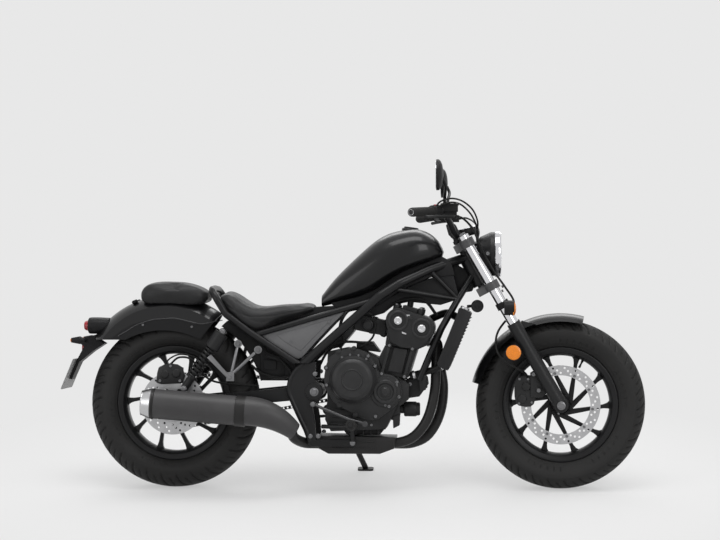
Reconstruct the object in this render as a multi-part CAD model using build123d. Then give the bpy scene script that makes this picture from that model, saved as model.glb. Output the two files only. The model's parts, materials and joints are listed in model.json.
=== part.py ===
from build123d import *
import math
import os

# A bobber style cruiser motorcycle that leans on its side stand, in millimetres.
# Each piece is drawn on the upright motorcycle: X forward from the rear axle,
# Y to the rider's left, Z up from the ground. It is leaned as it is written.

# Wheels and tyres
WHEELBASE = 1476
FRONT_TYRE_RADIUS = 322
REAR_TYRE_RADIUS = 326
FRONT_TYRE_HALF_WIDTH = 65
REAR_TYRE_HALF_WIDTH = 75
CROWN_CENTRE_RADIUS = 250
TYRE_WALL = 11
RIM_SEAT_RADIUS = 203
RIM_FLANGE_RADIUS = 219
RIM_INNER_RADIUS = 186
RIM_WALL = 7
FRONT_RIM_HALF_WIDTH = 38
REAR_RIM_HALF_WIDTH = 48
SPOKE_COUNT = 10
SPOKE_OFFSET = 35
SPOKE_TURN = 10.5
SPOKE_START_ANGLE = -1
SPOKE_ROOT_WIDTH = 22
SPOKE_WAIST_WIDTH = 13
SPOKE_FLARE_WIDTH = 34
SPOKE_HALF_DEPTH = 12
HUB_RADIUS = 38
FRONT_HUB_HALF_LENGTH = 52
REAR_HUB_HALF_LENGTH = 78
AXLE_RADIUS = 10
AXLE_BORE = 5
RUNNING_CLEARANCE = 0.3

# Brakes
DISC_THICKNESS = 5
FRONT_DISC_RADIUS = 150
FRONT_DISC_INNER_RADIUS = 112
FRONT_DISC_Y = -64
DISC_BOLT_RADIUS = 121
REAR_DISC_RADIUS = 120
REAR_DISC_INNER_RADIUS = 70
REAR_DISC_Y = -96
CALIPER_GAP = 5

# Steering
RAKE = 28
STEERING_TRAIL_X = 1586
LEG_ANGLE = 30
LEG_HALF_SPACING = 115
STANCHION_RADIUS = 20.5
SLIDER_RADIUS = 26
SLIDER_TOP_Z = 632
LEG_TOP_Z = 962
LOWER_CLAMP_Z = 756
UPPER_CLAMP_Z = 920
CLAMP_HEIGHT = 32
HEADSTOCK_LOW_Z = 777
HEADSTOCK_HIGH_Z = 899
HEADSTOCK_RADIUS = 29
STEM_RADIUS = 14
BAR_RADIUS = 11
GRIP_RADIUS = 16.5

# Frame
MAIN_TUBE_RADIUS = 17.5
RAIL_RADIUS = 13.5
DOWN_TUBE_RADIUS = 12
BRACE_RADIUS = 8.5
FRAME_HALF_WIDTH = 135
PLATE_THICKNESS = 20
PIVOT = (545, 372)
PIVOT_RADIUS = 33
ARM_THICKNESS = 18
ARM_HEIGHT = 42

# Side stand
LEAN = 9
STAND_PIVOT = Vector(665, 170, 180)
STAND_FOOT_Y = 292
STAND_FOOT_X = 715
STAND_FOLDED_TIP = Vector(472, 172, 200)
STAND_LEG_RADIUS = 11
STAND_PAD_THICKNESS = 7

FRONT_AXLE = Vector(WHEELBASE, 0, FRONT_TYRE_RADIUS)
REAR_AXLE = Vector(0, 0, REAR_TYRE_RADIUS)


def steering_point(z):
    """Point of the steering axis at height z."""
    return Vector(STEERING_TRAIL_X - z * math.tan(math.radians(RAKE)), 0, z)


def leg_point(z, y):
    """Point of a fork leg's centre line at height z."""
    drop = z - FRONT_AXLE.Z
    return Vector(FRONT_AXLE.X - drop * math.tan(math.radians(LEG_ANGLE)), y, z)


def floor_z(y):
    """Height of the floor under the upright motorcycle at the distance y."""
    lean = math.radians(LEAN)
    crown = FRONT_TYRE_RADIUS - CROWN_CENTRE_RADIUS
    return y * math.tan(lean) - crown * (1 - math.cos(lean)) / math.cos(lean)


def rod(start, end, radius):
    """Straight round bar between two points."""
    along = Vector(*end) - Vector(*start)
    return extrude(Plane(Vector(*start), z_dir=along) * Circle(radius), amount=along.length)


def cone(start, end, start_radius, end_radius):
    """Straight tapered bar between two points."""
    along = Vector(*end) - Vector(*start)
    first = Plane(Vector(*start), z_dir=along)
    return loft([first * Circle(start_radius), first.offset(along.length) * Circle(end_radius)])


def pipe(points, radius, bend):
    """Round bar along points, with a bend of the given radius at each corner."""
    path = FilletPolyline(*points, radius=bend)
    return sweep(Plane(path @ 0, z_dir=path % 0) * Circle(radius), path=path)


def slab(outline, y_left, y_right):
    """Plate with a side outline of (x, z) points between two distances to the left."""
    plane = Plane((0, y_left, 0), x_dir=(1, 0, 0), z_dir=(0, -1, 0))
    return extrude(plane * make_face(Polyline(*outline, close=True)), amount=y_left - y_right)


def disc(x, z, radius, y_left, y_right):
    """Round plate or boss across the motorcycle."""
    plane = Plane((x, y_left, z), x_dir=(1, 0, 0), z_dir=(0, -1, 0))
    return extrude(plane * Circle(radius), amount=y_left - y_right)


def spun(outline):
    """Ring about the Y axis from (radius, y) points."""
    return revolve(make_face(Polyline(*outline, close=True)), Axis.Y)


def both_sides(piece):
    """The piece and its mirror image on the other side."""
    return piece + mirror(piece, about=Plane.XZ)


def block(x_low, x_high, y_low, y_high, z_low, z_high):
    """Box between the given limits."""
    size = Box(x_high - x_low, y_high - y_low, z_high - z_low)
    return Pos((x_low + x_high) / 2, (y_low + y_high) / 2, (z_low + z_high) / 2) * size


# Wheels


def tyre(radius, half_width, rim_half_width):
    """Hollow tyre about the Y axis: round crown, side walls and beads."""
    crown = radius - CROWN_CENTRE_RADIUS
    shoulder = CROWN_CENTRE_RADIUS + math.sqrt(crown**2 - half_width**2)
    bead = RIM_SEAT_RADIUS + RUNNING_CLEARANCE
    bead_out = rim_half_width - RUNNING_CLEARANCE
    bead_in = bead_out - TYRE_WALL
    lip = RIM_FLANGE_RADIUS + 1
    wall = (shoulder + lip) / 2
    foot = bead_out + 7
    outer = [
        ThreePointArc((shoulder, -half_width), (radius, 0), (shoulder, half_width)),
        ThreePointArc((shoulder, half_width), (wall, half_width - 2), (lip, foot)),
        Polyline((lip, foot), (lip, bead_out), (bead, bead_out), (bead, 0)),
        Polyline((bead, 0), (bead, -bead_out), (lip, -bead_out), (lip, -foot)),
        ThreePointArc((lip, -foot), (wall, 2 - half_width), (shoulder, -half_width)),
    ]
    inner = half_width - TYRE_WALL
    hollow = [
        Line((bead - 1, -bead_in), (bead - 1, bead_in)),
        Line((bead - 1, bead_in), (lip, bead_in + 2)),
        ThreePointArc((lip, bead_in + 2), (wall, inner - 4), (shoulder - 6, inner)),
        ThreePointArc((shoulder - 6, inner), (radius - TYRE_WALL, 0), (shoulder - 6, -inner)),
        ThreePointArc((shoulder - 6, -inner), (wall, 4 - inner), (lip, -bead_in - 2)),
        Line((lip, -bead_in - 2), (bead - 1, -bead_in)),
    ]
    return revolve(make_face(outer), Axis.Y) - revolve(make_face(hollow), Axis.Y)


def spoke(rim_angle):
    """One straight spoke that passes beside the wheel's centre."""
    reach = math.sqrt((RIM_INNER_RADIUS + RIM_WALL / 2) ** 2 - SPOKE_OFFSET**2)
    outline = [
        (0, -SPOKE_ROOT_WIDTH / 2),
        (reach * 0.75, -SPOKE_WAIST_WIDTH / 2),
        (reach - 6, -SPOKE_FLARE_WIDTH / 2),
        (reach, -SPOKE_FLARE_WIDTH / 2),
        (reach, SPOKE_FLARE_WIDTH / 2),
        (reach - 6, SPOKE_FLARE_WIDTH / 2),
        (reach * 0.75, SPOKE_WAIST_WIDTH / 2),
        (0, SPOKE_ROOT_WIDTH / 2),
    ]
    bar = Pos(0, -SPOKE_OFFSET, 0) * make_face(Polyline(*outline, close=True))
    bar = extrude(bar, amount=SPOKE_HALF_DEPTH, both=True)
    return Rot(90, 0, 0) * (Rot(0, 0, rim_angle + SPOKE_TURN) * bar)


def wheel(rim_half_width, hub_half_length):
    """Cast wheel about the Y axis: rim, spokes and bored hub."""
    seat = RIM_SEAT_RADIUS
    flange = RIM_FLANGE_RADIUS
    w = rim_half_width
    half = [
        (RIM_INNER_RADIUS + RIM_WALL, 0),
        (RIM_INNER_RADIUS + RIM_WALL, w * 0.4),
        (seat, w * 0.65),
        (seat, w),
        (flange, w),
        (flange, w + 5),
        (flange - 9, w + 6),
        (seat - 6, w + 3),
        (RIM_INNER_RADIUS, w * 0.5),
        (RIM_INNER_RADIUS, 0),
    ]
    other = [(r, -y) for r, y in reversed(half[1:-1])]
    casting = spun(half + other)
    for number in range(SPOKE_COUNT):
        casting += spoke(SPOKE_START_ANGLE + number * 360 / SPOKE_COUNT)
    hub = spun([(0, -hub_half_length), (0, hub_half_length), (HUB_RADIUS - 10, hub_half_length),
                (HUB_RADIUS, 20), (HUB_RADIUS, -20), (HUB_RADIUS - 10, -hub_half_length)])
    casting += hub
    bore = spun([(0, -hub_half_length - 1), (0, hub_half_length + 1),
                 (AXLE_RADIUS + RUNNING_CLEARANCE, hub_half_length + 1),
                 (AXLE_RADIUS + RUNNING_CLEARANCE, -hub_half_length - 1)])
    return casting - bore


def disc_boss_angle():
    """Angle of a spoke's centre line at the disc bolts."""
    return SPOKE_START_ANGLE + SPOKE_TURN - 90 + math.degrees(
        math.acos(SPOKE_OFFSET / DISC_BOLT_RADIUS))


def around(piece, count, start=0):
    """Copies of a piece of the wheel plane, evenly spaced about the Y axis."""
    copies = [Rot(0, -(start + number * 360 / count), 0) * piece for number in range(count)]
    return sum(copies[1:], copies[0])


def front_wheel_casting():
    casting = wheel(FRONT_RIM_HALF_WIDTH, FRONT_HUB_HALF_LENGTH)
    face = FRONT_DISC_Y + DISC_THICKNESS / 2
    boss = disc(DISC_BOLT_RADIUS, 0, 8, 0, face)
    casting += around(boss, SPOKE_COUNT, disc_boss_angle())
    return Pos(*FRONT_AXLE) * casting


def rear_wheel_casting():
    return Pos(*REAR_AXLE) * wheel(REAR_RIM_HALF_WIDTH, REAR_HUB_HALF_LENGTH)


def front_tyre():
    return Pos(*FRONT_AXLE) * tyre(
        FRONT_TYRE_RADIUS, FRONT_TYRE_HALF_WIDTH, FRONT_RIM_HALF_WIDTH)


def rear_tyre():
    return Pos(*REAR_AXLE) * tyre(
        REAR_TYRE_RADIUS, REAR_TYRE_HALF_WIDTH, REAR_RIM_HALF_WIDTH)


def brake_disc(radius, inner, y):
    plate = disc(0, 0, radius, y + DISC_THICKNESS / 2, y - DISC_THICKNESS / 2)
    return plate - disc(0, 0, inner, y + DISC_THICKNESS, y - DISC_THICKNESS)


def front_brake_disc():
    return Pos(*FRONT_AXLE) * brake_disc(
        FRONT_DISC_RADIUS, FRONT_DISC_INNER_RADIUS, FRONT_DISC_Y)


def rear_brake_disc():
    plate = brake_disc(REAR_DISC_RADIUS, REAR_DISC_INNER_RADIUS, REAR_DISC_Y)
    face = REAR_DISC_Y + DISC_THICKNESS / 2
    back = REAR_DISC_Y - DISC_THICKNESS / 2
    carrier = disc(0, 0, REAR_DISC_INNER_RADIUS + 8, face, back)
    carrier += disc(0, 0, HUB_RADIUS, -REAR_HUB_HALF_LENGTH, face)
    carrier -= disc(0, 0, AXLE_RADIUS + RUNNING_CLEARANCE, 0, back - 1)
    return Pos(*REAR_AXLE) * (plate + carrier)


# Chain drive

SPROCKET_RADIUS = 104
SPROCKET_TEETH = 42
OUTPUT_RADIUS = 36
OUTPUT_SHAFT = (607, 372)
CHAIN_Y = 94
CHAIN_WIDTH = 14
CHAIN_HEIGHT = 14


def rear_sprocket():
    plate = disc(0, 0, SPROCKET_RADIUS - 8, CHAIN_Y + 3, CHAIN_Y - 3)
    tooth = block(SPROCKET_RADIUS - 12, SPROCKET_RADIUS - 2, -3, 3, -3, 3)
    plate += around(Pos(0, CHAIN_Y, 0) * tooth, SPROCKET_TEETH)
    plate += disc(0, 0, HUB_RADIUS, CHAIN_Y - 3, REAR_HUB_HALF_LENGTH)
    window = disc(68, 0, 16, CHAIN_Y + 5, CHAIN_Y - 5)
    plate -= around(window, 5)
    plate -= disc(0, 0, AXLE_RADIUS + RUNNING_CLEARANCE, CHAIN_Y + 5, 0)
    return Pos(*REAR_AXLE) * plate


def chain_band(grow):
    """Side shape of the closed chain loop, grown outward."""
    rear = Plane.XY * (Pos(REAR_AXLE.X, REAR_AXLE.Z) * Circle(SPROCKET_RADIUS + grow))
    front = Plane.XY * (Pos(*OUTPUT_SHAFT) * Circle(OUTPUT_RADIUS + grow))
    return make_hull(rear.edges() + front.edges())


def drive_chain():
    band = chain_band(CHAIN_HEIGHT / 2) - chain_band(-CHAIN_HEIGHT / 2 + 6)
    plane = Plane((0, CHAIN_Y + CHAIN_WIDTH / 2, 0), x_dir=(1, 0, 0), z_dir=(0, -1, 0))
    return extrude(plane * band, amount=CHAIN_WIDTH)


# Steering head and fork


def clamp_reach(z):
    """Distance from the stem to the legs' line, square to the steering axis."""
    rake = math.radians(RAKE)
    ahead = leg_point(z, 0).X - steering_point(z).X
    slope = math.tan(math.radians(LEG_ANGLE))
    return ahead / (math.cos(rake) + slope * math.sin(rake))


def clamp_plate(z, y_leg, rear):
    """Clamp across both legs and the stem, square to the steering axis."""
    centre = steering_point(z)
    plane = Plane(centre, x_dir=(math.cos(math.radians(RAKE)), 0, math.sin(math.radians(RAKE))),
                  z_dir=(-math.sin(math.radians(RAKE)), 0, math.cos(math.radians(RAKE))))
    reach = clamp_reach(z)
    ring = Circle(STANCHION_RADIUS + 8)
    outline = make_hull([*(Pos(reach, y_leg) * ring).edges(),
                         *(Pos(reach, -y_leg) * ring).edges(),
                         *(Pos(-rear, 0) * Circle(26)).edges()])
    return extrude(plane * outline, amount=CLAMP_HEIGHT / 2, both=True)


def fork_legs(radius, z_low, z_high):
    return both_sides(rod(leg_point(z_low, LEG_HALF_SPACING),
                          leg_point(z_high, LEG_HALF_SPACING), radius))


def steering_clamps():
    clamps = clamp_plate(LOWER_CLAMP_Z, LEG_HALF_SPACING, 0)
    clamps += clamp_plate(UPPER_CLAMP_Z, LEG_HALF_SPACING, 0)
    clamps += rod(steering_point(LOWER_CLAMP_Z), steering_point(UPPER_CLAMP_Z + 20), STEM_RADIUS)
    return clamps - fork_legs(STANCHION_RADIUS, SLIDER_TOP_Z, LEG_TOP_Z + 10)


def fork_stanchions():
    return fork_legs(STANCHION_RADIUS, SLIDER_TOP_Z, LEG_TOP_Z)


def fork_sliders():
    sliders = fork_legs(SLIDER_RADIUS, FRONT_AXLE.Z + 12, SLIDER_TOP_Z)
    lug = disc(FRONT_AXLE.X, FRONT_AXLE.Z, 27, LEG_HALF_SPACING + 22, LEG_HALF_SPACING - 22)
    sliders += both_sides(lug)
    return sliders - rod((FRONT_AXLE.X, -200, FRONT_AXLE.Z), (FRONT_AXLE.X, 200, FRONT_AXLE.Z),
                         AXLE_RADIUS)


def front_axle():
    end = LEG_HALF_SPACING + 30
    axle = rod((FRONT_AXLE.X, -end, FRONT_AXLE.Z), (FRONT_AXLE.X, end, FRONT_AXLE.Z),
               AXLE_RADIUS)
    head = disc(FRONT_AXLE.X, FRONT_AXLE.Z, 14, end, LEG_HALF_SPACING + 22)
    axle += both_sides(head)
    return axle - rod((FRONT_AXLE.X, -end - 1, FRONT_AXLE.Z),
                      (FRONT_AXLE.X, end + 1, FRONT_AXLE.Z), AXLE_BORE)


BAR_RISE = 985
BAR_POINTS = [
    Vector(1084, 0, BAR_RISE),
    Vector(1076, 130, BAR_RISE + 6),
    Vector(1002, 265, 1050),
    Vector(921, 410, 1042),
]
GRIP_INNER = 285


def bar_at(y):
    """Point of the handlebar's outer straight at the distance y."""
    start, end = BAR_POINTS[2], BAR_POINTS[3]
    return start + (end - start) * ((y - start.Y) / (end.Y - start.Y))


def handlebar():
    half = pipe(BAR_POINTS, BAR_RADIUS, 60)
    bar = both_sides(half)
    clamp = rod(steering_point(UPPER_CLAMP_Z) + Vector(10, 55, 10),
                Vector(1081, 55, BAR_RISE), 15)
    bar += both_sides(clamp - clamp_plate(UPPER_CLAMP_Z, LEG_HALF_SPACING, 0))
    return bar


def handlebar_grips():
    grip = rod(bar_at(GRIP_INNER), bar_at(410), GRIP_RADIUS)
    grip -= rod(bar_at(GRIP_INNER - 5), bar_at(415), BAR_RADIUS)
    return both_sides(grip)


def handlebar_controls():
    housing = rod(bar_at(GRIP_INNER - 42), bar_at(GRIP_INNER - 1), 20)
    holder = block(1030, 1092, 238, 262, 1025, 1058)
    lever = pipe([Vector(1075, 250, 1036), Vector(1058, 300, 1034), Vector(985, 415, 1027)], 6, 30)
    housing += holder + lever
    housing -= rod(bar_at(GRIP_INNER - 60), bar_at(410), BAR_RADIUS)
    housing -= rod(bar_at(GRIP_INNER), bar_at(410), GRIP_RADIUS)
    return both_sides(housing - pipe(BAR_POINTS, BAR_RADIUS, 60))


def mirrors():
    stem = pipe([Vector(1060, 250, 1058), Vector(1046, 262, 1110), Vector(1040, 330, 1165)], 5, 25)
    shell = Pos(1036, 352, 1172) * (Rot(0, 80, 0) * Cylinder(58, 18))
    return both_sides(stem + shell) - handlebar_controls()


def instrument():
    body = Pos(1116, 0, 1003) * (Rot(0, -38, 0) * Cylinder(34, 40))
    return body - handlebar()


LAMP_CENTRE = Vector(1236, 0, 895)
LAMP_RADIUS = 84
LAMP_DEPTH = 92


def headlight_bowl():
    outline = [(0, 0), (0, LAMP_DEPTH), (40, LAMP_DEPTH - 4), (66, LAMP_DEPTH * 0.7),
               (LAMP_RADIUS, 24), (LAMP_RADIUS, 0)]
    bowl = revolve(make_face(Polyline(*outline, close=True)), Axis.Y)
    inner = [(0, -1), (0, LAMP_DEPTH - 8), (36, LAMP_DEPTH - 12), (61, LAMP_DEPTH * 0.66),
             (LAMP_RADIUS - 5, 23), (LAMP_RADIUS - 5, -1)]
    bowl -= revolve(make_face(Polyline(*inner, close=True)), Axis.Y)
    bowl = Rot(0, 0, 90) * bowl
    bowl = Pos(*LAMP_CENTRE) * bowl
    mount = both_sides(block(1190, 1210, LAMP_RADIUS - 10, LEG_HALF_SPACING - 4, 885, 905))
    bowl += mount
    turning = rod(steering_point(700), steering_point(1000), HEADSTOCK_RADIUS + 6)
    return bowl - fork_legs(STANCHION_RADIUS, SLIDER_TOP_Z, LEG_TOP_Z) - turning - steering_clamps()


def headlight_lens():
    lens = spun([(0, 0), (LAMP_RADIUS - 5.3, 0), (LAMP_RADIUS - 5.3, -4), (60, -14), (0, -19)])
    ring = spun([(LAMP_RADIUS - 5.3, 0), (LAMP_RADIUS + 3, -0.3), (LAMP_RADIUS + 3, -9),
                 (LAMP_RADIUS - 5.3, -9)])
    return Pos(*LAMP_CENTRE) * (Rot(0, 0, 90) * (lens + ring))


def front_indicators():
    stem = rod(leg_point(700, LEG_HALF_SPACING), (1280, 190, 690), 6)
    stem += rod(leg_point(690, LEG_HALF_SPACING), leg_point(712, LEG_HALF_SPACING), 26)
    lamp = rod((1262, 196, 690), (1300, 196, 690), 27)
    stem -= fork_legs(STANCHION_RADIUS, 600, 800)
    return both_sides(stem + lamp)


FENDER_RADIUS = 347
FENDER_WALL = 3
FENDER_HALF_WIDTH = 76
FENDER_SKIRT_RADIUS = 316


def arched(outer, skirt, half_width, wall, start, span):
    """Arched fender section swept about the Y axis between two angles."""
    section = make_face([
        ThreePointArc((skirt, half_width), (outer, 0), (skirt, -half_width)),
        Line((skirt, -half_width), (skirt, wall - half_width)),
        ThreePointArc((skirt, wall - half_width), (outer - wall, 0), (skirt, half_width - wall)),
        Line((skirt, half_width - wall), (skirt, half_width)),
    ])
    turned = Rot(0, -start, 0) * section
    return revolve(turned, Axis((0, 0, 0), (0, -1, 0)), span)


def front_fender():
    fender = arched(FENDER_RADIUS, FENDER_SKIRT_RADIUS, FENDER_HALF_WIDTH, FENDER_WALL, 75, 91)
    fender = Pos(*FRONT_AXLE) * fender
    bracket = slab([(1300, 600), (1344, 560), (1380, 600), (1400, 625), (1330, 640)],
                   LEG_HALF_SPACING - 20, FENDER_HALF_WIDTH - 6)
    bracket -= Pos(*FRONT_AXLE) * disc(0, 0, 322, 200, -200)
    bracket -= fork_legs(SLIDER_RADIUS, 300, SLIDER_TOP_Z)
    return fender + both_sides(bracket)


def front_brake_caliper():
    body = slab([(1308, 330), (1330, 316), (1368, 322), (1376, 350), (1376, 425), (1330, 430),
                 (1310, 400)], FRONT_DISC_Y + 28, FRONT_DISC_Y - 26)
    gap = CALIPER_GAP + DISC_THICKNESS / 2
    body -= Pos(*FRONT_AXLE) * disc(0, 0, FRONT_DISC_RADIUS + CALIPER_GAP,
                                    FRONT_DISC_Y + gap, FRONT_DISC_Y - gap)
    body -= Pos(*FRONT_AXLE) * disc(0, 0, DISC_BOLT_RADIUS + 8 + CALIPER_GAP, 0, FRONT_DISC_Y)
    arm = slab([(1360, 440), (1405, 425), (1440, 380), (1400, 350), (1360, 350)], -80, -100)
    arm -= fork_legs(SLIDER_RADIUS, 250, SLIDER_TOP_Z)
    return body + arm


# Frame


def headstock():
    tube = rod(steering_point(HEADSTOCK_LOW_Z), steering_point(HEADSTOCK_HIGH_Z),
               HEADSTOCK_RADIUS)
    return tube - rod(steering_point(700), steering_point(1000), STEM_RADIUS + RUNNING_CLEARANCE)


MAIN_POINTS = [
    Vector(1112, 14, 880),
    Vector(982, 75, 837),
    Vector(869, 118, 784),
    Vector(793, 131, 735),
    Vector(566, FRAME_HALF_WIDTH, 534),
    Vector(495, FRAME_HALF_WIDTH, 466),
]
BRACE_TOP = Vector(857, 118, 760)
BRACE_FRONT = Vector(1090, 58, 721)


def main_tube():
    return pipe(MAIN_POINTS[:5] + [Vector(480, FRAME_HALF_WIDTH, 455)], MAIN_TUBE_RADIUS, 60)


def frame_main_tubes():
    return both_sides(main_tube() - slab([(400, 400), (600, 400), (600, 480), (400, 480)], 200, 0)
                      - headstock_core() - rail_half())


def headstock_core():
    return rod(steering_point(HEADSTOCK_LOW_Z - 10), steering_point(HEADSTOCK_HIGH_Z + 10),
               HEADSTOCK_RADIUS)


def frame_down_tubes():
    down = pipe([Vector(1150, 12, 826), Vector(1080, 62, 712), Vector(1020, 100, 606),
                 Vector(940, 110, 416)], DOWN_TUBE_RADIUS, 80)
    brace = rod(BRACE_TOP, BRACE_FRONT, BRACE_RADIUS)
    tie = rod(Vector(989, 80, 824), BRACE_FRONT, BRACE_RADIUS)
    tubes = (down + brace + tie) - main_tube() - headstock_core()
    return both_sides(tubes)


RAIL_POINTS = [
    Vector(505, FRAME_HALF_WIDTH, 462),
    Vector(302, FRAME_HALF_WIDTH, 595),
    Vector(207, FRAME_HALF_WIDTH, 666),
    Vector(152, FRAME_HALF_WIDTH, 758),
    Vector(150, 0, 762),
]
UNDER_SEAT_TUBE_RADIUS = 11


def rail_half():
    return pipe(RAIL_POINTS, RAIL_RADIUS, 50)


def seat_rails():
    rail = rail_half() - block(470, 620, 0, 200, 300, 480)
    under = rod((319, FRAME_HALF_WIDTH - 8, 587), (762, 127, 716), UNDER_SEAT_TUBE_RADIUS)
    return both_sides(rail + (under - main_tube()))


def pivot_plates():
    outline = [(502, 480), (551, 485), (547, 417), (572, 394), (580, 368), (566, 341),
               (532, 322), (544, 266), (551, 192), (700, 192), (700, 166), (530, 166),
               (513, 220), (491, 266), (460, 334), (447, 371), (449, 405), (464, 443),
               (482, 466)]
    outer = FRAME_HALF_WIDTH + PLATE_THICKNESS / 2
    plate = slab(outline, outer, outer - PLATE_THICKNESS)
    plate += disc(*PIVOT, PIVOT_RADIUS, outer + 6, outer - 1)
    return both_sides(plate - main_tube() - rail_half())


def swingarm():
    outline = [(PIVOT[0], PIVOT[1] + 26), (PIVOT[0], PIVOT[1] - 26), (60, 300), (-34, 300),
               (-34, 350), (60, 348)]
    inner = FRAME_HALF_WIDTH - PLATE_THICKNESS / 2 - 1
    arm = slab(outline, inner, inner - ARM_THICKNESS)
    arm += disc(*PIVOT, 26, inner, 0)
    arm -= disc(REAR_AXLE.X, REAR_AXLE.Z, AXLE_RADIUS, 300, 0)
    return both_sides(arm)


def rear_axle():
    end = FRAME_HALF_WIDTH + 8
    axle = rod((0, -end, REAR_AXLE.Z), (0, end, REAR_AXLE.Z), AXLE_RADIUS)
    head = disc(0, REAR_AXLE.Z, 15, end, FRAME_HALF_WIDTH - PLATE_THICKNESS / 2 - 1)
    axle += both_sides(head)
    return axle - rod((0, -end - 1, REAR_AXLE.Z), (0, end + 1, REAR_AXLE.Z), AXLE_BORE)


SHOCK_Y = 160
SHOCK_TOP = Vector(199, SHOCK_Y, 600)
SHOCK_LOW = Vector(52, SHOCK_Y, 384)


def shock_at(share):
    """Point on a shock's line, as a share from its lower eye to its upper eye."""
    return SHOCK_LOW + (SHOCK_TOP - SHOCK_LOW) * share


def shock_absorbers():
    body = rod(shock_at(0), shock_at(0.2), 15)
    body += rod(shock_at(0.2), shock_at(0.72), 11)
    body += rod(shock_at(0.72), shock_at(0.97), 27)
    eye = rod(SHOCK_TOP - Vector(0, 30, 0), SHOCK_TOP + Vector(0, 14, 0), 13)
    low = rod(SHOCK_LOW - Vector(0, 36, 0), SHOCK_LOW + Vector(0, 14, 0), 12)
    return both_sides(body + eye + low)


def shock_springs():
    coil = rod(shock_at(0.2), shock_at(0.72), 23) - rod(shock_at(0.1), shock_at(0.8), 11)
    return both_sides(coil)


# Engine

CRANKCASE_HALF_WIDTH = 112
CLUTCH_CENTRE = (691, 419)
CRANK_CENTRE = (814, 373)
COVER_DEPTH = 62


def crankcase():
    outline = [(594, 523), (662, 538), (719, 531), (787, 500), (805, 436), (870, 425),
               (904, 399), (900, 342), (851, 304), (813, 229), (605, 221), (583, 266),
               (592, 342), (590, 455)]
    case = slab(outline, CRANKCASE_HALF_WIDTH, -CRANKCASE_HALF_WIDTH)
    pocket = block(500, 660, CHAIN_Y - 18, 200, 318, 430)
    return case - pocket


def engine_covers():
    outer = -CRANKCASE_HALF_WIDTH - COVER_DEPTH
    clutch = disc(*CLUTCH_CENTRE, 98, -CRANKCASE_HALF_WIDTH, outer)
    clutch += disc(*CLUTCH_CENTRE, 71, outer, outer - 12)
    small = disc(*CRANK_CENTRE, 46, -CRANKCASE_HALF_WIDTH, outer + 10)
    generator = disc(*CRANK_CENTRE, 82, CRANKCASE_HALF_WIDTH + COVER_DEPTH,
                     CRANKCASE_HALF_WIDTH)
    chain_cover = slab([(585, 440), (700, 460), (740, 400), (720, 300), (600, 300)],
                       CRANKCASE_HALF_WIDTH + 22, CRANKCASE_HALF_WIDTH)
    return clutch + small + generator + chain_cover - cylinder_block()


def cylinder_block():
    outline = [(787.5, 500.5), (812, 549), (932, 530), (899, 425), (870, 425.5), (805.5, 436.5)]
    return slab(outline, 128, -128)


def cylinder_head():
    outline = [(812, 549.5), (817, 644), (839, 682), (869, 689), (926, 678), (990, 651),
               (998, 625), (975, 549), (932, 530.5)]
    return slab(outline, 143, -143)


def throttle_body():
    body = slab([(690, 600), (690, 680), (812, 640), (812, 575)], 90, -90)
    box = slab([(700, 700), (860, 760), (930, 800), (800, 690)], 70, -70)
    return body + box


def radiator():
    outline = [(1100, 682), (1137, 659), (1057, 455), (1028, 470)]
    return slab(outline, 150, -150)


# Exhaust

SILENCER_Y = -215
SILENCER_RADIUS = 56
SILENCER_REAR = Vector(-66, SILENCER_Y, 330)
SILENCER_FRONT = Vector(262, SILENCER_Y, 303)
SILENCER_KNEE = Vector(385, SILENCER_Y + 3, 284)
SILENCER_NOSE = Vector(474, -184, 224)
HEADER_RADIUS = 17
SILENCER_CAP_LENGTH = 34


def header(y, lift):
    points = [Vector(950, y, 585), Vector(992, y, 540), Vector(1000 + lift, y, 400),
              Vector(955 + lift, y, 230), Vector(880, y, 172), Vector(800, y, 168)]
    return pipe(points, HEADER_RADIUS, 55)


def exhaust_pipes():
    pipes = header(-62, 0) + header(62, 14)
    pipes += slab([(545, 164), (593, 135), (800, 135), (850, 152), (850, 200), (555, 205)],
                  95, -110)
    ahead = (SILENCER_NOSE - SILENCER_KNEE).normalized()
    link = pipe([Vector(640, -80, 168), Vector(560, -85, 174), Vector(505, -108, 178),
                 SILENCER_NOSE + ahead * 14, SILENCER_NOSE], 20, 12)
    return (pipes - crankcase() - cylinder_head()) + link


def silencer():
    body = rod(SILENCER_REAR, SILENCER_FRONT, SILENCER_RADIUS)
    axis = SILENCER_FRONT - SILENCER_REAR
    ahead = SILENCER_NOSE - SILENCER_KNEE
    nose = loft([Plane(SILENCER_FRONT, z_dir=axis) * Circle(SILENCER_RADIUS),
                 Plane(SILENCER_KNEE, z_dir=SILENCER_NOSE - SILENCER_FRONT) * Circle(50),
                 Plane(SILENCER_NOSE, z_dir=ahead) * Circle(33)])
    return body + nose


def silencer_cap():
    along = (SILENCER_FRONT - SILENCER_REAR).normalized()
    cap = cone(SILENCER_REAR - along * SILENCER_CAP_LENGTH, SILENCER_REAR,
               SILENCER_RADIUS - 10, SILENCER_RADIUS + 2)
    return cap - rod(SILENCER_REAR - along * 60, SILENCER_REAR - along * 8, 24)


# Tank, seats and bodywork


def tank_section(x, z_low, z_high, half_width):
    low = half_width * 0.7
    top = half_width * 0.55
    middle = z_low + (z_high - z_low) * 0.45
    shoulder = z_high - (z_high - z_low) * 0.14
    plane = Plane((x, 0, 0), x_dir=(0, 1, 0), z_dir=(1, 0, 0))
    return plane * make_face([
        Line((-low, z_low), (low, z_low)),
        ThreePointArc((low, z_low), (half_width, middle), (top, shoulder)),
        ThreePointArc((top, shoulder), (0, z_high), (-top, shoulder)),
        ThreePointArc((-top, shoulder), (-half_width, middle), (-low, z_low)),
    ])


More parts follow.
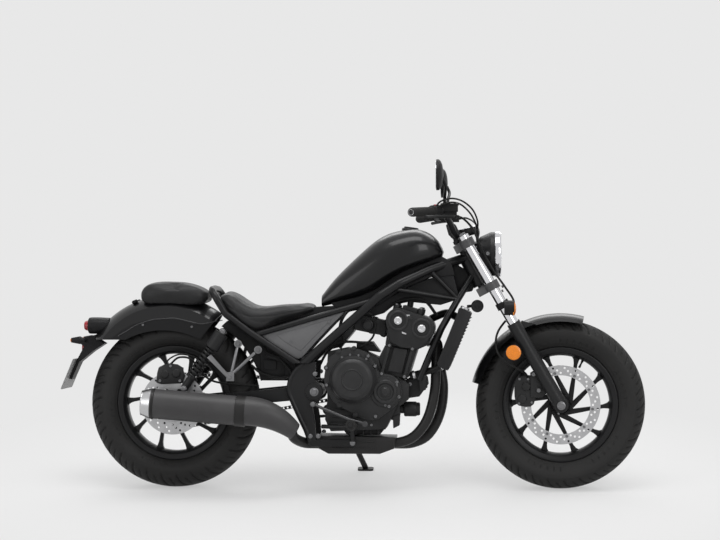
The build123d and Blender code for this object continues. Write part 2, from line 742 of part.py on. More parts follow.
def fuel_tank():
    sections = [(562, 690, 742, 62), (633, 712, 819, 82), (700, 726, 881, 100),
                (767, 757, 942, 116), (820, 799, 975, 124), (880, 828, 987, 126),
                (930, 848, 992, 120), (985, 869, 966, 98), (1028, 888, 914, 70)]
    return loft([tank_section(*values) for values in sections]) - both_sides(main_tube())


def fuel_cap():
    cap = Pos(905, 0, 992) * (Rot(0, 8, 0) * Cylinder(34, 22))
    return cap - fuel_tank()


def seat_section(x, z_low, z_high, half_width):
    plane = Plane((x, 0, 0), x_dir=(0, 1, 0), z_dir=(1, 0, 0))
    middle = (z_low + z_high) / 2
    return plane * make_face([
        Line((-half_width * 0.85, z_low), (half_width * 0.85, z_low)),
        ThreePointArc((half_width * 0.85, z_low), (half_width, middle),
                      (half_width * 0.85, z_high - 6)),
        ThreePointArc((half_width * 0.85, z_high - 6), (0, z_high), (-half_width * 0.85, z_high - 6)),
        ThreePointArc((-half_width * 0.85, z_high - 6), (-half_width, middle),
                      (-half_width * 0.85, z_low)),
    ])


def rider_seat():
    sections = [(182, 722, 752, 118), (215, 668, 752, 140), (268, 622, 722, 152),
                (318, 606, 697, 150), (380, 624, 696, 140), (450, 648, 702, 122),
                (505, 664, 706, 98), (545, 676, 700, 70)]
    seat = loft([seat_section(*values) for values in sections])
    return seat - both_sides(rail_half()) - seat_rails() - fuel_tank()


REAR_FENDER_CENTRE = (-29, 398)
REAR_FENDER_RADIUS = 338
REAR_FENDER_CREASE = 298
REAR_FENDER_HALF_WIDTH = 92
REAR_FENDER_WALL = 4
ARCH_CENTRE = (-39, 296)
ARCH_RADIUS = 307
TAIL_Z = 567


def fender_form(shrink):
    """Filled outer form of the rear fender, shrunk on each face."""
    top = REAR_FENDER_RADIUS - shrink
    crease = REAR_FENDER_CREASE - shrink
    half = REAR_FENDER_HALF_WIDTH - shrink
    section = make_face([
        ThreePointArc((crease, half), (top, 0), (crease, -half)),
        Polyline((crease, -half), (150, -half), (150, half), (crease, half)),
    ])
    turned = Rot(0, -52, 0) * section
    ring = revolve(turned, Axis((0, 0, 0), (0, -1, 0)), 96)
    return Pos(REAR_FENDER_CENTRE[0], 0, REAR_FENDER_CENTRE[1]) * ring


def fender_shell():
    shell = fender_form(0) - fender_form(REAR_FENDER_WALL)
    shell -= disc(*ARCH_CENTRE, ARCH_RADIUS, 300, -300)
    shell -= block(-600, 400, -300, 300, 0, TAIL_Z)
    return shell


def below_trim():
    line = [(-300, 560), (-231, 577), (-193, 607), (-154, 627), (-97, 642), (-20, 648),
            (38, 640), (76, 629), (107, 627), (141, 636), (300, 660), (300, 400), (-400, 400)]
    return slab(line, 200, -200)


def rear_fender():
    return fender_shell() - below_trim() - seat_rails() - shock_absorbers()


def fender_valance():
    return fender_shell() & below_trim()


def pillion_seat():
    sections = [(-131, 716, 752, 78), (-105, 700, 780, 98), (-20, 700, 788, 106),
                (60, 696, 782, 104), (112, 700, 764, 92), (136, 712, 746, 70)]
    seat = loft([seat_section(*values) for values in sections])
    return seat - fender_form(0) - both_sides(rail_half()) - seat_rails()


def tail_light():
    lamp = slab([(-335, 600), (-335, 640), (-262, 654), (-250, 640), (-262, 604)], 55, -55)
    return lamp - fender_form(0)


def plate_bracket():
    arm = slab([(-289, 590), (-385, 565), (-352, 540), (-383.5, 481.6), (-410.3, 416.9),
                (-400, 413), (-370, 480), (-321, 520), (-260, 560)], 40, -40)
    return arm - fender_form(0) - tail_light() - number_plate()


def number_plate():
    plane = Plane(Vector(-404, 0, 436), x_dir=(0, 1, 0), z_dir=(-0.924, 0, 0.383))
    return extrude(plane * RectangleRounded(230, 125, 8), amount=1.5, both=True)


def rear_indicators():
    stem = rod((-345, 38, 552), (-350, 118, 545), 6)
    lamp = rod((-366, 128, 545), (-330, 128, 545), 26)
    return both_sides(stem - plate_bracket() + lamp)


def side_covers():
    outline = [(357, 572), (640, 652), (615, 628), (493, 500), (376, 556)]
    cover = slab(outline, 122, 100) - main_tube() - seat_rails()
    return both_sides(cover)


def battery_box():
    return block(335, 441, -80, 80, 412, 546)


def footrests():
    bar = rod((690, FRAME_HALF_WIDTH, 179), (690, 180, 240), 9)
    bar -= pivot_plates()
    peg = rod((690, 175, 250), (690, 275, 258), 17)
    passenger = rod((240, 202, 552), (150, 206, 500), 12)
    hanger = slab([(310, 590), (325, 575), (250, 532), (226, 548), (236, 566)], 148, 134)
    hanger += disc(240, 552, 12, 190, 140)
    passenger += hanger - rail_half() - (rod((319, FRAME_HALF_WIDTH - 8, 587), (762, 127, 716), UNDER_SEAT_TUBE_RADIUS))
    return both_sides(bar + peg) + both_sides(passenger)


def foot_levers():
    pedal = pipe([Vector(560, -172, 240), Vector(640, -176, 262), Vector(720, -190, 285)], 7, 60)
    pad = rod((722, -182, 285), (722, -250, 285), 11)
    return pedal + pad


def side_stand():
    tip = Vector(STAND_FOOT_X, STAND_FOOT_Y, floor_z(STAND_FOOT_Y) + STAND_PAD_THICKNESS)
    leg = rod(STAND_PIVOT, tip, STAND_LEG_RADIUS)
    up = Vector(0, -math.sin(math.radians(LEAN)), math.cos(math.radians(LEAN)))
    ground = Plane(Vector(STAND_FOOT_X, STAND_FOOT_Y, floor_z(STAND_FOOT_Y)), x_dir=(1, 0, 0),
                   z_dir=up)
    pad = extrude(ground * RectangleRounded(62, 44, 12), amount=STAND_PAD_THICKNESS)
    leg -= extrude(ground * Rectangle(200, 200), amount=-60)
    leg += pad
    axis = stand_axis()
    leg += rod(STAND_PIVOT - axis * 12, STAND_PIVOT + axis * 12, 17)
    bore = rod(STAND_PIVOT - axis * 20, STAND_PIVOT + axis * 20, 6 + RUNNING_CLEARANCE)
    return leg - bore


def stand_axis():
    """Unit vector of the side stand's hinge, square to the leg down and folded."""
    tip = Vector(STAND_FOOT_X, STAND_FOOT_Y, floor_z(STAND_FOOT_Y))
    return (tip - STAND_PIVOT).cross(STAND_FOLDED_TIP - STAND_PIVOT).normalized()


def stand_bracket():
    axis = stand_axis()
    lug = rod(STAND_PIVOT - axis * 26, STAND_PIVOT - axis * 12.3, 18)
    pin = rod(STAND_PIVOT - axis * 20, STAND_PIVOT + axis * 15, 6)
    return lug + pin - pivot_plates()


def rear_brake_caliper():
    body = slab([(-60, 400), (-48, 462), (10, 466), (28, 440), (20, 400)],
                REAR_DISC_Y + 22, REAR_DISC_Y - 12)
    gap = CALIPER_GAP + DISC_THICKNESS / 2
    body -= Pos(*REAR_AXLE) * disc(0, 0, REAR_DISC_RADIUS + CALIPER_GAP,
                                   REAR_DISC_Y + gap, REAR_DISC_Y - gap)
    return body


PIECES = {
    "front_tyre": front_tyre,
    "front_wheel_casting": front_wheel_casting,
    "front_brake_disc": front_brake_disc,
    "rear_tyre": rear_tyre,
    "rear_wheel_casting": rear_wheel_casting,
    "rear_brake_disc": rear_brake_disc,
    "rear_sprocket": rear_sprocket,
    "drive_chain": drive_chain,
    "steering_clamps": steering_clamps,
    "fork_stanchions": fork_stanchions,
    "fork_sliders": fork_sliders,
    "front_axle": front_axle,
    "handlebar": handlebar,
    "handlebar_grips": handlebar_grips,
    "handlebar_controls": handlebar_controls,
    "mirrors": mirrors,
    "instrument": instrument,
    "headlight_bowl": headlight_bowl,
    "headlight_lens": headlight_lens,
    "front_indicators": front_indicators,
    "front_fender": front_fender,
    "front_brake_caliper": front_brake_caliper,
    "headstock": headstock,
    "frame_main_tubes": frame_main_tubes,
    "frame_down_tubes": frame_down_tubes,
    "seat_rails": seat_rails,
    "pivot_plates": pivot_plates,
    "swingarm": swingarm,
    "rear_axle": rear_axle,
    "shock_absorbers": shock_absorbers,
    "shock_springs": shock_springs,
    "crankcase": crankcase,
    "engine_covers": engine_covers,
    "cylinder_block": cylinder_block,
    "cylinder_head": cylinder_head,
    "intake": throttle_body,
    "radiator": radiator,
    "exhaust_pipes": exhaust_pipes,
    "silencer": silencer,
    "silencer_cap": silencer_cap,
    "fuel_tank": fuel_tank,
    "fuel_cap": fuel_cap,
    "rider_seat": rider_seat,
    "pillion_seat": pillion_seat,
    "rear_fender": rear_fender,
    "fender_valance": fender_valance,
    "tail_light": tail_light,
    "plate_bracket": plate_bracket,
    "number_plate": number_plate,
    "rear_indicators": rear_indicators,
    "side_covers": side_covers,
    "battery_box": battery_box,
    "footrests": footrests,
    "foot_levers": foot_levers,
    "side_stand": side_stand,
    "stand_bracket": stand_bracket,
    "rear_brake_caliper": rear_brake_caliper,
}


def leaned(piece):
    """The piece on the motorcycle as it rests on its side stand."""
    crown = FRONT_TYRE_RADIUS - CROWN_CENTRE_RADIUS
    lift = crown * (1 - math.cos(math.radians(LEAN)))
    return Pos(0, 0, lift) * (Rot(-LEAN, 0, 0) * piece)


def main():
    os.makedirs("parts", exist_ok=True)
    pieces = {name: leaned(make()) for name, make in PIECES.items()}
    boxes = [piece.bounding_box() for piece in pieces.values()]
    x_middle = (min(box.min.X for box in boxes) + max(box.max.X for box in boxes)) / 2
    y_middle = (min(box.min.Y for box in boxes) + max(box.max.Y for box in boxes)) / 2
    z_low = min(box.min.Z for box in boxes)
    place = Pos(-x_middle, -y_middle, -z_low)
    for name, piece in pieces.items():
        export_step(place * piece, f"parts/{name}.step")
    points = {
        "front_axle": FRONT_AXLE,
        "rear_axle": REAR_AXLE,
        "steering_low": steering_point(LOWER_CLAMP_Z),
        "steering_high": steering_point(UPPER_CLAMP_Z),
        "stand_pivot": STAND_PIVOT,
        "stand_axis_end": STAND_PIVOT + stand_axis() * 10,
        "left_of_rear_axle": REAR_AXLE + Vector(0, 10, 0),
        "front_axle_bore": FRONT_AXLE,
    }
    for name, point in points.items():
        spot = (place * leaned(Vertex(*point))).center()
        print("point", name, round(spot.X, 4), round(spot.Y, 4), round(spot.Z, 4))
    print("size", max(b.max.X for b in boxes) - min(b.min.X for b in boxes),
          max(b.max.Y for b in boxes) - min(b.min.Y for b in boxes),
          max(b.max.Z for b in boxes) - z_low)


main()
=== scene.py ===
import json
import math

import bmesh
import bpy
from mathutils import Matrix, Vector


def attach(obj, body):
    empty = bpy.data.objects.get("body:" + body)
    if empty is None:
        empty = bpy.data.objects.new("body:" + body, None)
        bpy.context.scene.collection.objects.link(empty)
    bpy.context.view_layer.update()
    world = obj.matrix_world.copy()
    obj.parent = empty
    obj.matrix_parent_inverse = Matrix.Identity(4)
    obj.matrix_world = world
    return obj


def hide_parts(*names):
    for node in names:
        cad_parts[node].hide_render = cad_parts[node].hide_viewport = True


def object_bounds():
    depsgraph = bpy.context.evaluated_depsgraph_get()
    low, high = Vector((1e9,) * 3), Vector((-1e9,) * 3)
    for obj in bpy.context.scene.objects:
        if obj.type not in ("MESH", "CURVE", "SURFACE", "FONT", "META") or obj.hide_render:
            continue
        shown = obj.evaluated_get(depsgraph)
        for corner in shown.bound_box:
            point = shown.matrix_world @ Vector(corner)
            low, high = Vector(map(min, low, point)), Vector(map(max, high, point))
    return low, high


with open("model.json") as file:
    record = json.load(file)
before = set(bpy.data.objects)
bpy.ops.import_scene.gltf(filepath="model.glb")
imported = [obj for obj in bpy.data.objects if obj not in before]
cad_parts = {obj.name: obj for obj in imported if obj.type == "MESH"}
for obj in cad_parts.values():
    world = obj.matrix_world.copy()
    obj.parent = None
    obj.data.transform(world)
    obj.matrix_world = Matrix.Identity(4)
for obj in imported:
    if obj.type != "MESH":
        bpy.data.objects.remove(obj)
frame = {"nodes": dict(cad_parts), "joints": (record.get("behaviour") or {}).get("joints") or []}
cad_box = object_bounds()
nodes = frame["nodes"]
joints = {joint["name"]: joint for joint in frame["joints"]}

# The motorcycle's own frame, in millimetres: X forward from the rear axle, Y to the
# rider's left, Z up from the ground when upright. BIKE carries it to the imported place.
MM = 0.001
REAR_AXLE = Vector((0, 0, 326))
FRONT_AXLE = Vector((1476, 0, 322))
RAKE = math.radians(28)


def lean_matrix():
    """Matrix from the upright motorcycle in millimetres to the leaning one in metres."""
    axle = joints["rear_wheel_axle"]
    left = Vector(axle["axis"])
    turn = Matrix.Rotation(math.atan2(left.z, left.y), 4, "X")
    return Matrix.Translation(Vector(axle["pos_m"]) - turn @ (REAR_AXLE * MM)) @ turn \
        @ Matrix.Scale(MM, 4)


BIKE = lean_matrix()
UP = (BIKE.to_3x3() @ Vector((0, 0, 1))).normalized()


# Shader maths


class Socket:
    """A shader socket or number that adds Math nodes when it is used in an expression."""

    def __init__(self, shader, value):
        self.shader = shader
        self.value = value

    def math(self, operation, *others):
        values = dict(enumerate([self, *others]))
        return self.shader.node("ShaderNodeMath", {"operation": operation}, values)

    def __add__(self, other):
        return self.math("ADD", other)

    def __radd__(self, other):
        return self.math("ADD", other)

    def __sub__(self, other):
        return self.math("SUBTRACT", other)

    def __rsub__(self, other):
        return Socket(self.shader, other).math("SUBTRACT", self)

    def __mul__(self, other):
        return self.math("MULTIPLY", other)

    def __rmul__(self, other):
        return self.math("MULTIPLY", other)

    def __truediv__(self, other):
        return self.math("DIVIDE", other)

    def clamp(self):
        return self.math("MINIMUM", 1).math("MAXIMUM", 0)

    def sine(self):
        return self.math("SINE")


class Shader:
    """A procedural material with a Principled surface and slightly rounded edges."""

    def __init__(self, name, color, roughness=0.5, metallic=0.0, rounding=0.0012, **fixed):
        self.material = bpy.data.materials.new(name)
        self.material.use_nodes = True
        self.tree = self.material.node_tree
        self.surface = self.tree.nodes["Principled BSDF"]
        self.set("Base Color", color)
        self.set("Roughness", roughness)
        self.set("Metallic", metallic)
        for key, value in fixed.items():
            self.set(key.replace("_", " "), value)
        self.edge = None
        if rounding:
            self.edge = self.node("ShaderNodeBevel", {"samples": 4}, {"Radius": rounding})
            self.set("Normal", self.edge)

    def plug(self, socket, value):
        if isinstance(value, Socket):
            value = value.value
        if isinstance(value, bpy.types.NodeSocket):
            self.tree.links.new(value, socket)
        elif hasattr(socket.default_value, "__len__") and not hasattr(value, "__len__"):
            socket.default_value = [value] * len(socket.default_value)
        elif hasattr(socket.default_value, "__len__") and len(value) == 3 \
                and len(socket.default_value) == 4:
            socket.default_value = [*value, 1]
        else:
            socket.default_value = value

    def set(self, name, value):
        self.plug(self.surface.inputs[name], value)
        return self

    def node(self, kind, settings=None, values=None, output=0):
        made = self.tree.nodes.new(kind)
        for key, value in (settings or {}).items():
            setattr(made, key, value)
        for key, value in (values or {}).items():
            self.plug(made.inputs[key], value)
        return Socket(self, made.outputs[output])

    def place(self):
        """Object coordinates, in metres."""
        return self.node("ShaderNodeTexCoord", output="Object")

    def noise(self, scale, detail=3, roughness=0.5):
        values = {"Vector": self.place(), "Scale": scale, "Detail": detail,
                  "Roughness": roughness, "Distortion": 0.0}
        return self.node("ShaderNodeTexNoise", None, values, "Fac")

    def cells(self, scale):
        values = {"Vector": self.place(), "Scale": scale}
        return self.node("ShaderNodeTexVoronoi", {"feature": "F1"}, values, "Distance")

    def axis_value(self, axis):
        """One object coordinate, in metres: 0, 1 or 2."""
        return self.node("ShaderNodeSeparateXYZ", None, {"Vector": self.place()}, axis)

    def mix(self, share, first, second):
        made = self.tree.nodes.new("ShaderNodeMix")
        made.data_type = "RGBA"
        self.plug(made.inputs[0], share)
        self.plug(made.inputs[6], first)
        self.plug(made.inputs[7], second)
        return Socket(self, made.outputs[2])

    def bump(self, height, strength=0.3, distance=0.001):
        values = {"Strength": strength, "Distance": distance, "Height": height}
        if self.edge:
            values["Normal"] = self.edge
        self.set("Normal", self.node("ShaderNodeBump", None, values))
        return self


BLACK_COAT_SHINE = 0.22


def gloss_paint(name, coat):
    s = Shader(name, (0.004, 0.004, 0.0045), 0.3, 0.0, Coat_Weight=coat,
               Coat_Roughness=0.08, Specular_IOR_Level=BLACK_COAT_SHINE)
    flake = s.noise(900, 2)
    s.set("Roughness", 0.28 + flake * 0.10)
    return s.bump(s.noise(45, 2), 0.02, 0.001).material


def satin_metal(name, color, roughness, depth=0.12):
    s = Shader(name, color, roughness, 0.0, 0.0014, Specular_IOR_Level=BLACK_COAT_SHINE)
    wear = s.noise(9, 4, 0.6)
    s.set("Roughness", roughness - 0.06 + wear * 0.14)
    s.set("Base Color", s.mix(wear, [c * 0.75 for c in color], [c * 1.3 for c in color]))
    return s.bump(s.noise(1400, 3), depth, 0.0004).material


def cast_metal(name="cast_black_engine", low=0.010, high=0.030, roughness=0.40):
    s = Shader(name, (high, high, high), roughness, 0.2, 0.0018,
               Specular_IOR_Level=BLACK_COAT_SHINE)
    cloud = s.noise(14, 5, 0.6)
    grain = s.noise(700, 4, 0.7)
    s.set("Base Color", s.mix(cloud, (low, low, low), (high, high, high * 1.03)))
    s.set("Roughness", roughness - 0.08 + cloud * 0.18)
    return s.bump(grain, 0.3, 0.0006).material


def chrome(name="chrome_plate", color=(0.72, 0.72, 0.74), roughness=0.06):
    s = Shader(name, color, roughness, 1.0)
    s.set("Roughness", roughness + s.noise(40, 3) * 0.05)
    return s.material


def brushed_steel(name="brushed_steel", color=(0.55, 0.55, 0.56), roughness=0.3):
    s = Shader(name, color, roughness, 1.0, 0.0008)
    grain = s.noise(800, 2, 0.6)
    s.set("Roughness", roughness - 0.08 + grain * 0.18)
    return s.bump(grain, 0.08, 0.0003).material


def ground_disc_steel():
    """Ground steel of the brake discs, with fine scratches and heat stains."""
    s = Shader("disc_steel", (0.60, 0.60, 0.61), 0.3, 1.0, 0.0006)
    scratches = s.noise(1500, 2, 0.6)
    stain = s.noise(30, 4, 0.6)
    s.set("Base Color", s.mix(stain, (0.34, 0.34, 0.345), (0.56, 0.56, 0.57)))
    s.set("Roughness", 0.22 + scratches * 0.16)
    return s.bump(scratches, 0.12, 0.0003).material


def tyre_rubber():
    s = Shader("tyre_rubber", (0.012, 0.012, 0.012), 0.72, 0.0, 0.001, Specular_IOR_Level=0.25)
    cloud = s.noise(11, 5, 0.65)
    s.set("Base Color", s.mix(cloud, (0.008, 0.008, 0.008), (0.019, 0.0185, 0.018)))
    s.set("Roughness", 0.52 + cloud * 0.2)
    return s.bump(s.noise(500, 4, 0.7), 0.15, 0.0006).material


def soft_plastic(name="black_plastic", color=(0.010, 0.010, 0.0105), roughness=0.45):
    s = Shader(name, color, roughness, 0.0, 0.0015, Specular_IOR_Level=0.15)
    pebble = s.cells(900)
    s.set("Roughness", roughness - 0.05 + s.noise(30, 3) * 0.12)
    return s.bump(pebble, 0.15, 0.0004).material


def grip_rubber():
    """Soft rubber with fine ribs along the handlebar."""
    s = Shader("grip_rubber", (0.012, 0.012, 0.012), 0.6, 0.0, 0.001)
    ribs = (s.axis_value(1) * 1300).sine()
    s.set("Roughness", 0.52 + s.noise(60, 3) * 0.16)
    return s.bump(ribs, 0.6, 0.0012).material


def seat_vinyl():
    s = Shader("seat_vinyl", (0.011, 0.011, 0.0115), 0.5, 0.0, 0.0, Specular_IOR_Level=0.25,
               Sheen_Weight=0.04)
    grain = s.cells(620)
    crease_and_shade = s.noise(38, 5, 0.6)
    s.set("Roughness", 0.38 + crease_and_shade * 0.16)
    # Base colour darker where the creases dip: painted shade in the creases.
    s.set("Base Color", s.mix(crease_and_shade, (0.008, 0.008, 0.0085), (0.017, 0.017, 0.0175)))
    return s.bump(grain + crease_and_shade * 0.6, 0.28, 0.0006).material


def clear_lens():
    s = Shader("headlight_glass", (0.96, 0.97, 0.98), 0.03, 0.0, 0.0, IOR=1.45,
               Transmission_Weight=0.95)
    s.set("Roughness", 0.01 + s.noise(60, 2) * 0.03)
    return s.material


def colored_lens(name, color):
    s = Shader(name, color, 0.12, 0.0, 0.0008, IOR=1.49, Transmission_Weight=0.1, Coat_Weight=0.15,
               Coat_Roughness=0.04)
    ribs = s.cells(420)
    # Colour lighter on the raised cell edges: painted glint on the lens ridges.
    s.set("Base Color", s.mix(ribs, color, [min(1, c * 1.7) for c in color]))
    return s.bump(ribs, 0.35, 0.001).material


def blank_plate():
    s = Shader("blank_plate", (0.20, 0.20, 0.20), 0.4, 0.0)
    s.set("Roughness", 0.36 + s.noise(25, 3) * 0.1)
    return s.bump(s.noise(300, 2), 0.05, 0.0003).material


PAINT = gloss_paint("gloss_black_paint", 0.35)
TANK_PAINT = gloss_paint("tank_black_paint", 0.25)
SATIN = satin_metal("satin_black_metal", (0.012, 0.012, 0.0125), 0.40)
FRAME_COAT = satin_metal("frame_black_coat", (0.009, 0.009, 0.0095), 0.30, depth=0.06)
WHEEL_COAT = satin_metal("wheel_black_coat", (0.008, 0.008, 0.0085), 0.34, depth=0.08)
SILENCER_COAT = satin_metal("silencer_black_coat", (0.050, 0.049, 0.050), 0.40, depth=0.08)
PIPE_COAT = satin_metal("pipe_dark_coat", (0.016, 0.0155, 0.0155), 0.36)
SPRING_COAT = satin_metal("spring_black_coat", (0.010, 0.010, 0.0105), 0.28)
CLAMP_GREY = satin_metal("clamp_grey_coat", (0.060, 0.060, 0.062), 0.36)
CAST = cast_metal()
COVER_CAST = cast_metal("cast_black_cover", 0.018, 0.036, 0.33)
CALIPER_CAST = cast_metal("cast_black_caliper", 0.012, 0.030, 0.36)
CHROME = chrome()
MIRROR_GLASS = chrome("mirror_glass", (0.80, 0.82, 0.84), 0.02)
REFLECTOR = chrome("lamp_reflector", (0.86, 0.86, 0.88), 0.10)
STEEL = brushed_steel()
BRIGHT = brushed_steel("bright_machined", (0.62, 0.62, 0.63), 0.26)
BOLT_STEEL = brushed_steel("bolt_steel", (0.18, 0.18, 0.185), 0.34)
DISC_STEEL = ground_disc_steel()
DARK_STEEL = brushed_steel("dark_steel", (0.07, 0.07, 0.072), 0.38)
RUBBER = tyre_rubber()
GRIP = grip_rubber()
PLASTIC = soft_plastic()
CABLE = soft_plastic("cable_sheath", (0.009, 0.009, 0.009), 0.38)
VINYL = seat_vinyl()
GLASS = clear_lens()
RED_LENS = colored_lens("red_lens", (0.24, 0.004, 0.010))
AMBER_LENS = colored_lens("amber_lens", (0.62, 0.17, 0.006))
PLATE = blank_plate()
SIDE_PANEL = satin_metal("side_panel_grey", (0.120, 0.120, 0.123), 0.42)
RADIATOR_COAT = satin_metal("radiator_dark_coat", (0.012, 0.012, 0.0125), 0.45)
PEG_ALLOY = brushed_steel("peg_alloy", (0.20, 0.20, 0.205), 0.34)

CAD_FINISH = (
    (FRAME_COAT, "headstock frame_main_tubes frame_down_tubes seat_rails pivot_plates swingarm"),
    (SATIN, "shock_absorbers radiator footrests stand_bracket fork_sliders handlebar "
            "headlight_bowl side_stand"),
    (PLASTIC, "intake fender_valance plate_bracket rear_indicators side_covers battery_box "
              "handlebar_controls mirrors instrument front_indicators"),
    (CAST, "crankcase cylinder_block cylinder_head"), (COVER_CAST, "engine_covers"),
    (CALIPER_CAST, "front_brake_caliper rear_brake_caliper"), (PIPE_COAT, "exhaust_pipes"),
    (SILENCER_COAT, "silencer"), (STEEL, "silencer_cap"), (SPRING_COAT, "shock_springs"),
    (DARK_STEEL, "foot_levers drive_chain rear_sprocket"), (CLAMP_GREY, "steering_clamps"),
    (CHROME, "rear_axle front_axle fork_stanchions fuel_cap"), (TANK_PAINT, "fuel_tank"),
    (PAINT, "front_fender rear_fender"), (VINYL, "rider_seat pillion_seat"),
    (PLATE, "number_plate"), (RED_LENS, "tail_light"), (GLASS, "headlight_lens"),
    (GRIP, "handlebar_grips"),
    (RUBBER, "front_tyre rear_tyre"), (WHEEL_COAT, "front_wheel_casting rear_wheel_casting"),
    (DISC_STEEL, "front_brake_disc rear_brake_disc"),
)
for material, names in CAD_FINISH:
    for name in names.split():
        nodes[name].data.materials.clear()
        nodes[name].data.materials.append(material)


# Making pieces


class Form:
    """A mesh in the making, in the upright motorcycle's millimetres."""

    def __init__(self):
        self.bm = bmesh.new()

    def skin(self, rings, close=False):
        """Faces between rings of points; a ring of one point is a pole."""
        rings = [[self.bm.verts.new(point) for point in ring] for ring in rings]
        pairs = list(zip(rings, rings[1:])) + ([(rings[-1], rings[0])] if close else [])
        for low, high in pairs:
            count = max(len(low), len(high))
            for i in range(count):
                j = (i + 1) % count
                corners = [low[i % len(low)], low[j % len(low)], high[j % len(high)],
                           high[i % len(high)]]
                corners = list(dict.fromkeys(corners))
                if len(corners) > 2:
                    self.bm.faces.new(corners)
        return self

    def lathe(self, profile, base, axis, sides=48, close=False):
        """Turns (radius, along) points about an axis through base."""
        base = Vector(base)
        axis = Vector(axis).normalized()
        side = axis.orthogonal().normalized()
        other = axis.cross(side)
        turns = [i * 2 * math.pi / sides for i in range(sides)]
        rings = []
        for radius, along in profile:
            centre = base + axis * along
            if radius <= 0:
                rings.append([centre])
            else:
                rings.append([centre + (side * math.cos(t) + other * math.sin(t)) * radius
                              for t in turns])
        return self.skin(rings, close)

    def tube(self, points, radius, sides=12):
        """Round tube with closed ends along points; radius may be one value or one each."""
        points = [Vector(point) for point in points]
        radii = radius if hasattr(radius, "__len__") else [radius] * len(points)
        ahead = [(b - a).normalized() for a, b in zip(points, points[1:])]
        along = [ahead[0]] + [(a + b).normalized() for a, b in zip(ahead, ahead[1:])] + [ahead[-1]]
        side = along[0].orthogonal().normalized()
        rings = [[points[0]]]
        for point, way, size in zip(points, along, radii):
            side = (side - way * side.dot(way)).normalized()
            other = way.cross(side)
            rings.append([point + (side * math.cos(t) + other * math.sin(t)) * size
                          for t in (i * 2 * math.pi / sides for i in range(sides))])
        rings.append([points[-1]])
        return self.skin(rings)

    def prism(self, outline, depth):
        """Flat outline of points, given a thickness by the vector depth."""
        low = [Vector(point) for point in outline]
        high = [point + Vector(depth) for point in low]
        count = len(low)
        low = [self.bm.verts.new(point) for point in low]
        high = [self.bm.verts.new(point) for point in high]
        self.bm.faces.new(low)
        self.bm.faces.new(high[::-1])
        for i in range(count):
            j = (i + 1) % count
            self.bm.faces.new([low[i], high[i], high[j], low[j]])
        return self

    def plate(self, outline, y_from, y_to):
        """Side outline of (x, z) points between two distances to the left."""
        return self.prism([(x, y_from, z) for x, z in outline], (0, y_to - y_from, 0))

    def block(self, centre, size):
        x, y, z = centre
        a, b, c = (value / 2 for value in size)
        return self.prism([(x - a, y - b, z - c), (x + a, y - b, z - c), (x + a, y - b, z + c),
                           (x - a, y - b, z + c)], (0, 2 * b, 0))

    def holed(self, loops, y_from, y_to):
        """Plate between two distances to the left, from closed (x, z) loops: holes too."""
        sides = []
        for y in (y_from, y_to):
            edges = []
            rings = []
            for loop in loops:
                ring = [self.bm.verts.new((x, y, z)) for x, z in loop]
                edges += [self.bm.edges.new((a, b)) for a, b in zip(ring, ring[1:] + ring[:1])]
                rings.append(ring)
            bmesh.ops.triangle_fill(self.bm, edges=edges, use_beauty=True)
            sides.append(rings)
        for low, high in zip(*sides):
            for i in range(len(low)):
                j = (i + 1) % len(low)
                self.bm.faces.new([low[i], high[i], high[j], low[j]])
        return self

    def mirror(self):
        """Adds the same form on the other side of the motorcycle."""
        copy = bmesh.ops.duplicate(self.bm, geom=self.bm.verts[:] + self.bm.faces[:])
        for item in copy["geom"]:
            if isinstance(item, bmesh.types.BMVert):
                item.co.y = -item.co.y
        return self


def smooth_line(points, steps=6):
    """Points on a smooth curve through the given ones."""
    points = [Vector(point) for point in points]
    ends = [2 * points[0] - points[1], *points, 2 * points[-1] - points[-2]]
    line = []
    for a, b, c, d in zip(ends, ends[1:], ends[2:], ends[3:]):
        for i in range(steps):
            t = i / steps
            line.append(0.5 * (2 * b + (c - a) * t + (2 * a - 5 * b + 4 * c - d) * t * t
                               + (3 * b - a - 3 * c + d) * t ** 3))
    return line + [points[-1]]


def oval(centre, x_radius, z_radius, count=24):
    """(x, z) points round an oval."""
    return [(centre[0] + x_radius * math.cos(i * 2 * math.pi / count),
             centre[1] + z_radius * math.sin(i * 2 * math.pi / count)) for i in range(count)]


def place_object(name, mesh, material, body, replaced):
    """Puts a mesh that is in packed metres in the scene, on its body."""
    mesh.materials.clear()
    mesh.materials.append(material)
    piece = bpy.data.objects.new(name, mesh)
    bpy.context.scene.collection.objects.link(piece)
    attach(piece, body)
    if replaced:
        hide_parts(*replaced)
    return piece


def finish(form, name, material, body="frame", bevel=0.0, sharp=32, replaced=()):
    """Turns a form into a piece: faces outwards, edges softened, packed place."""
    bm = form.bm
    bmesh.ops.remove_doubles(bm, verts=bm.verts, dist=0.01)
    bmesh.ops.recalc_face_normals(bm, faces=bm.faces)
    if bevel:
        limit = math.radians(sharp)
        edges = [e for e in bm.edges if len(e.link_faces) == 2 and e.calc_face_angle() > limit]
        bmesh.ops.bevel(bm, geom=edges, offset=bevel, segments=2, profile=0.6, affect="EDGES",
                        clamp_overlap=True)
    bm.transform(BIKE)
    mesh = bpy.data.meshes.new(name)
    bm.to_mesh(mesh)
    bm.free()
    mesh.polygons.foreach_set("use_smooth", [True] * len(mesh.polygons))
    mesh.set_sharp_from_angle(angle=math.radians(sharp))
    place_object(name, mesh, material, body, replaced)


# Tyres


def groove(offset, width):
    """Depth share of a groove at a distance from its middle."""
    t = min(1.0, max(0.0, (width / 2 + 1.2 - abs(offset)) / 2.4))
    return t * t * (3 - 2 * t)


TREAD_PITCHES = 30
TREAD_DEPTH = 5.0
TREAD_CENTRE = 250


def slanted_groove(turn, reach, shift, low, high, ramp, width):
    """Depth share of the slanted grooves between two shares of the half width."""
    if not low < reach < high:
        return 0.0
    pitch = turn * TREAD_PITCHES / (2 * math.pi) + shift + reach * 0.9
    off = ((pitch + 0.5) % 1 - 0.5) * 67
    return groove(off, width) * min(1.0, (reach - low) / ramp, (high - reach) / ramp)


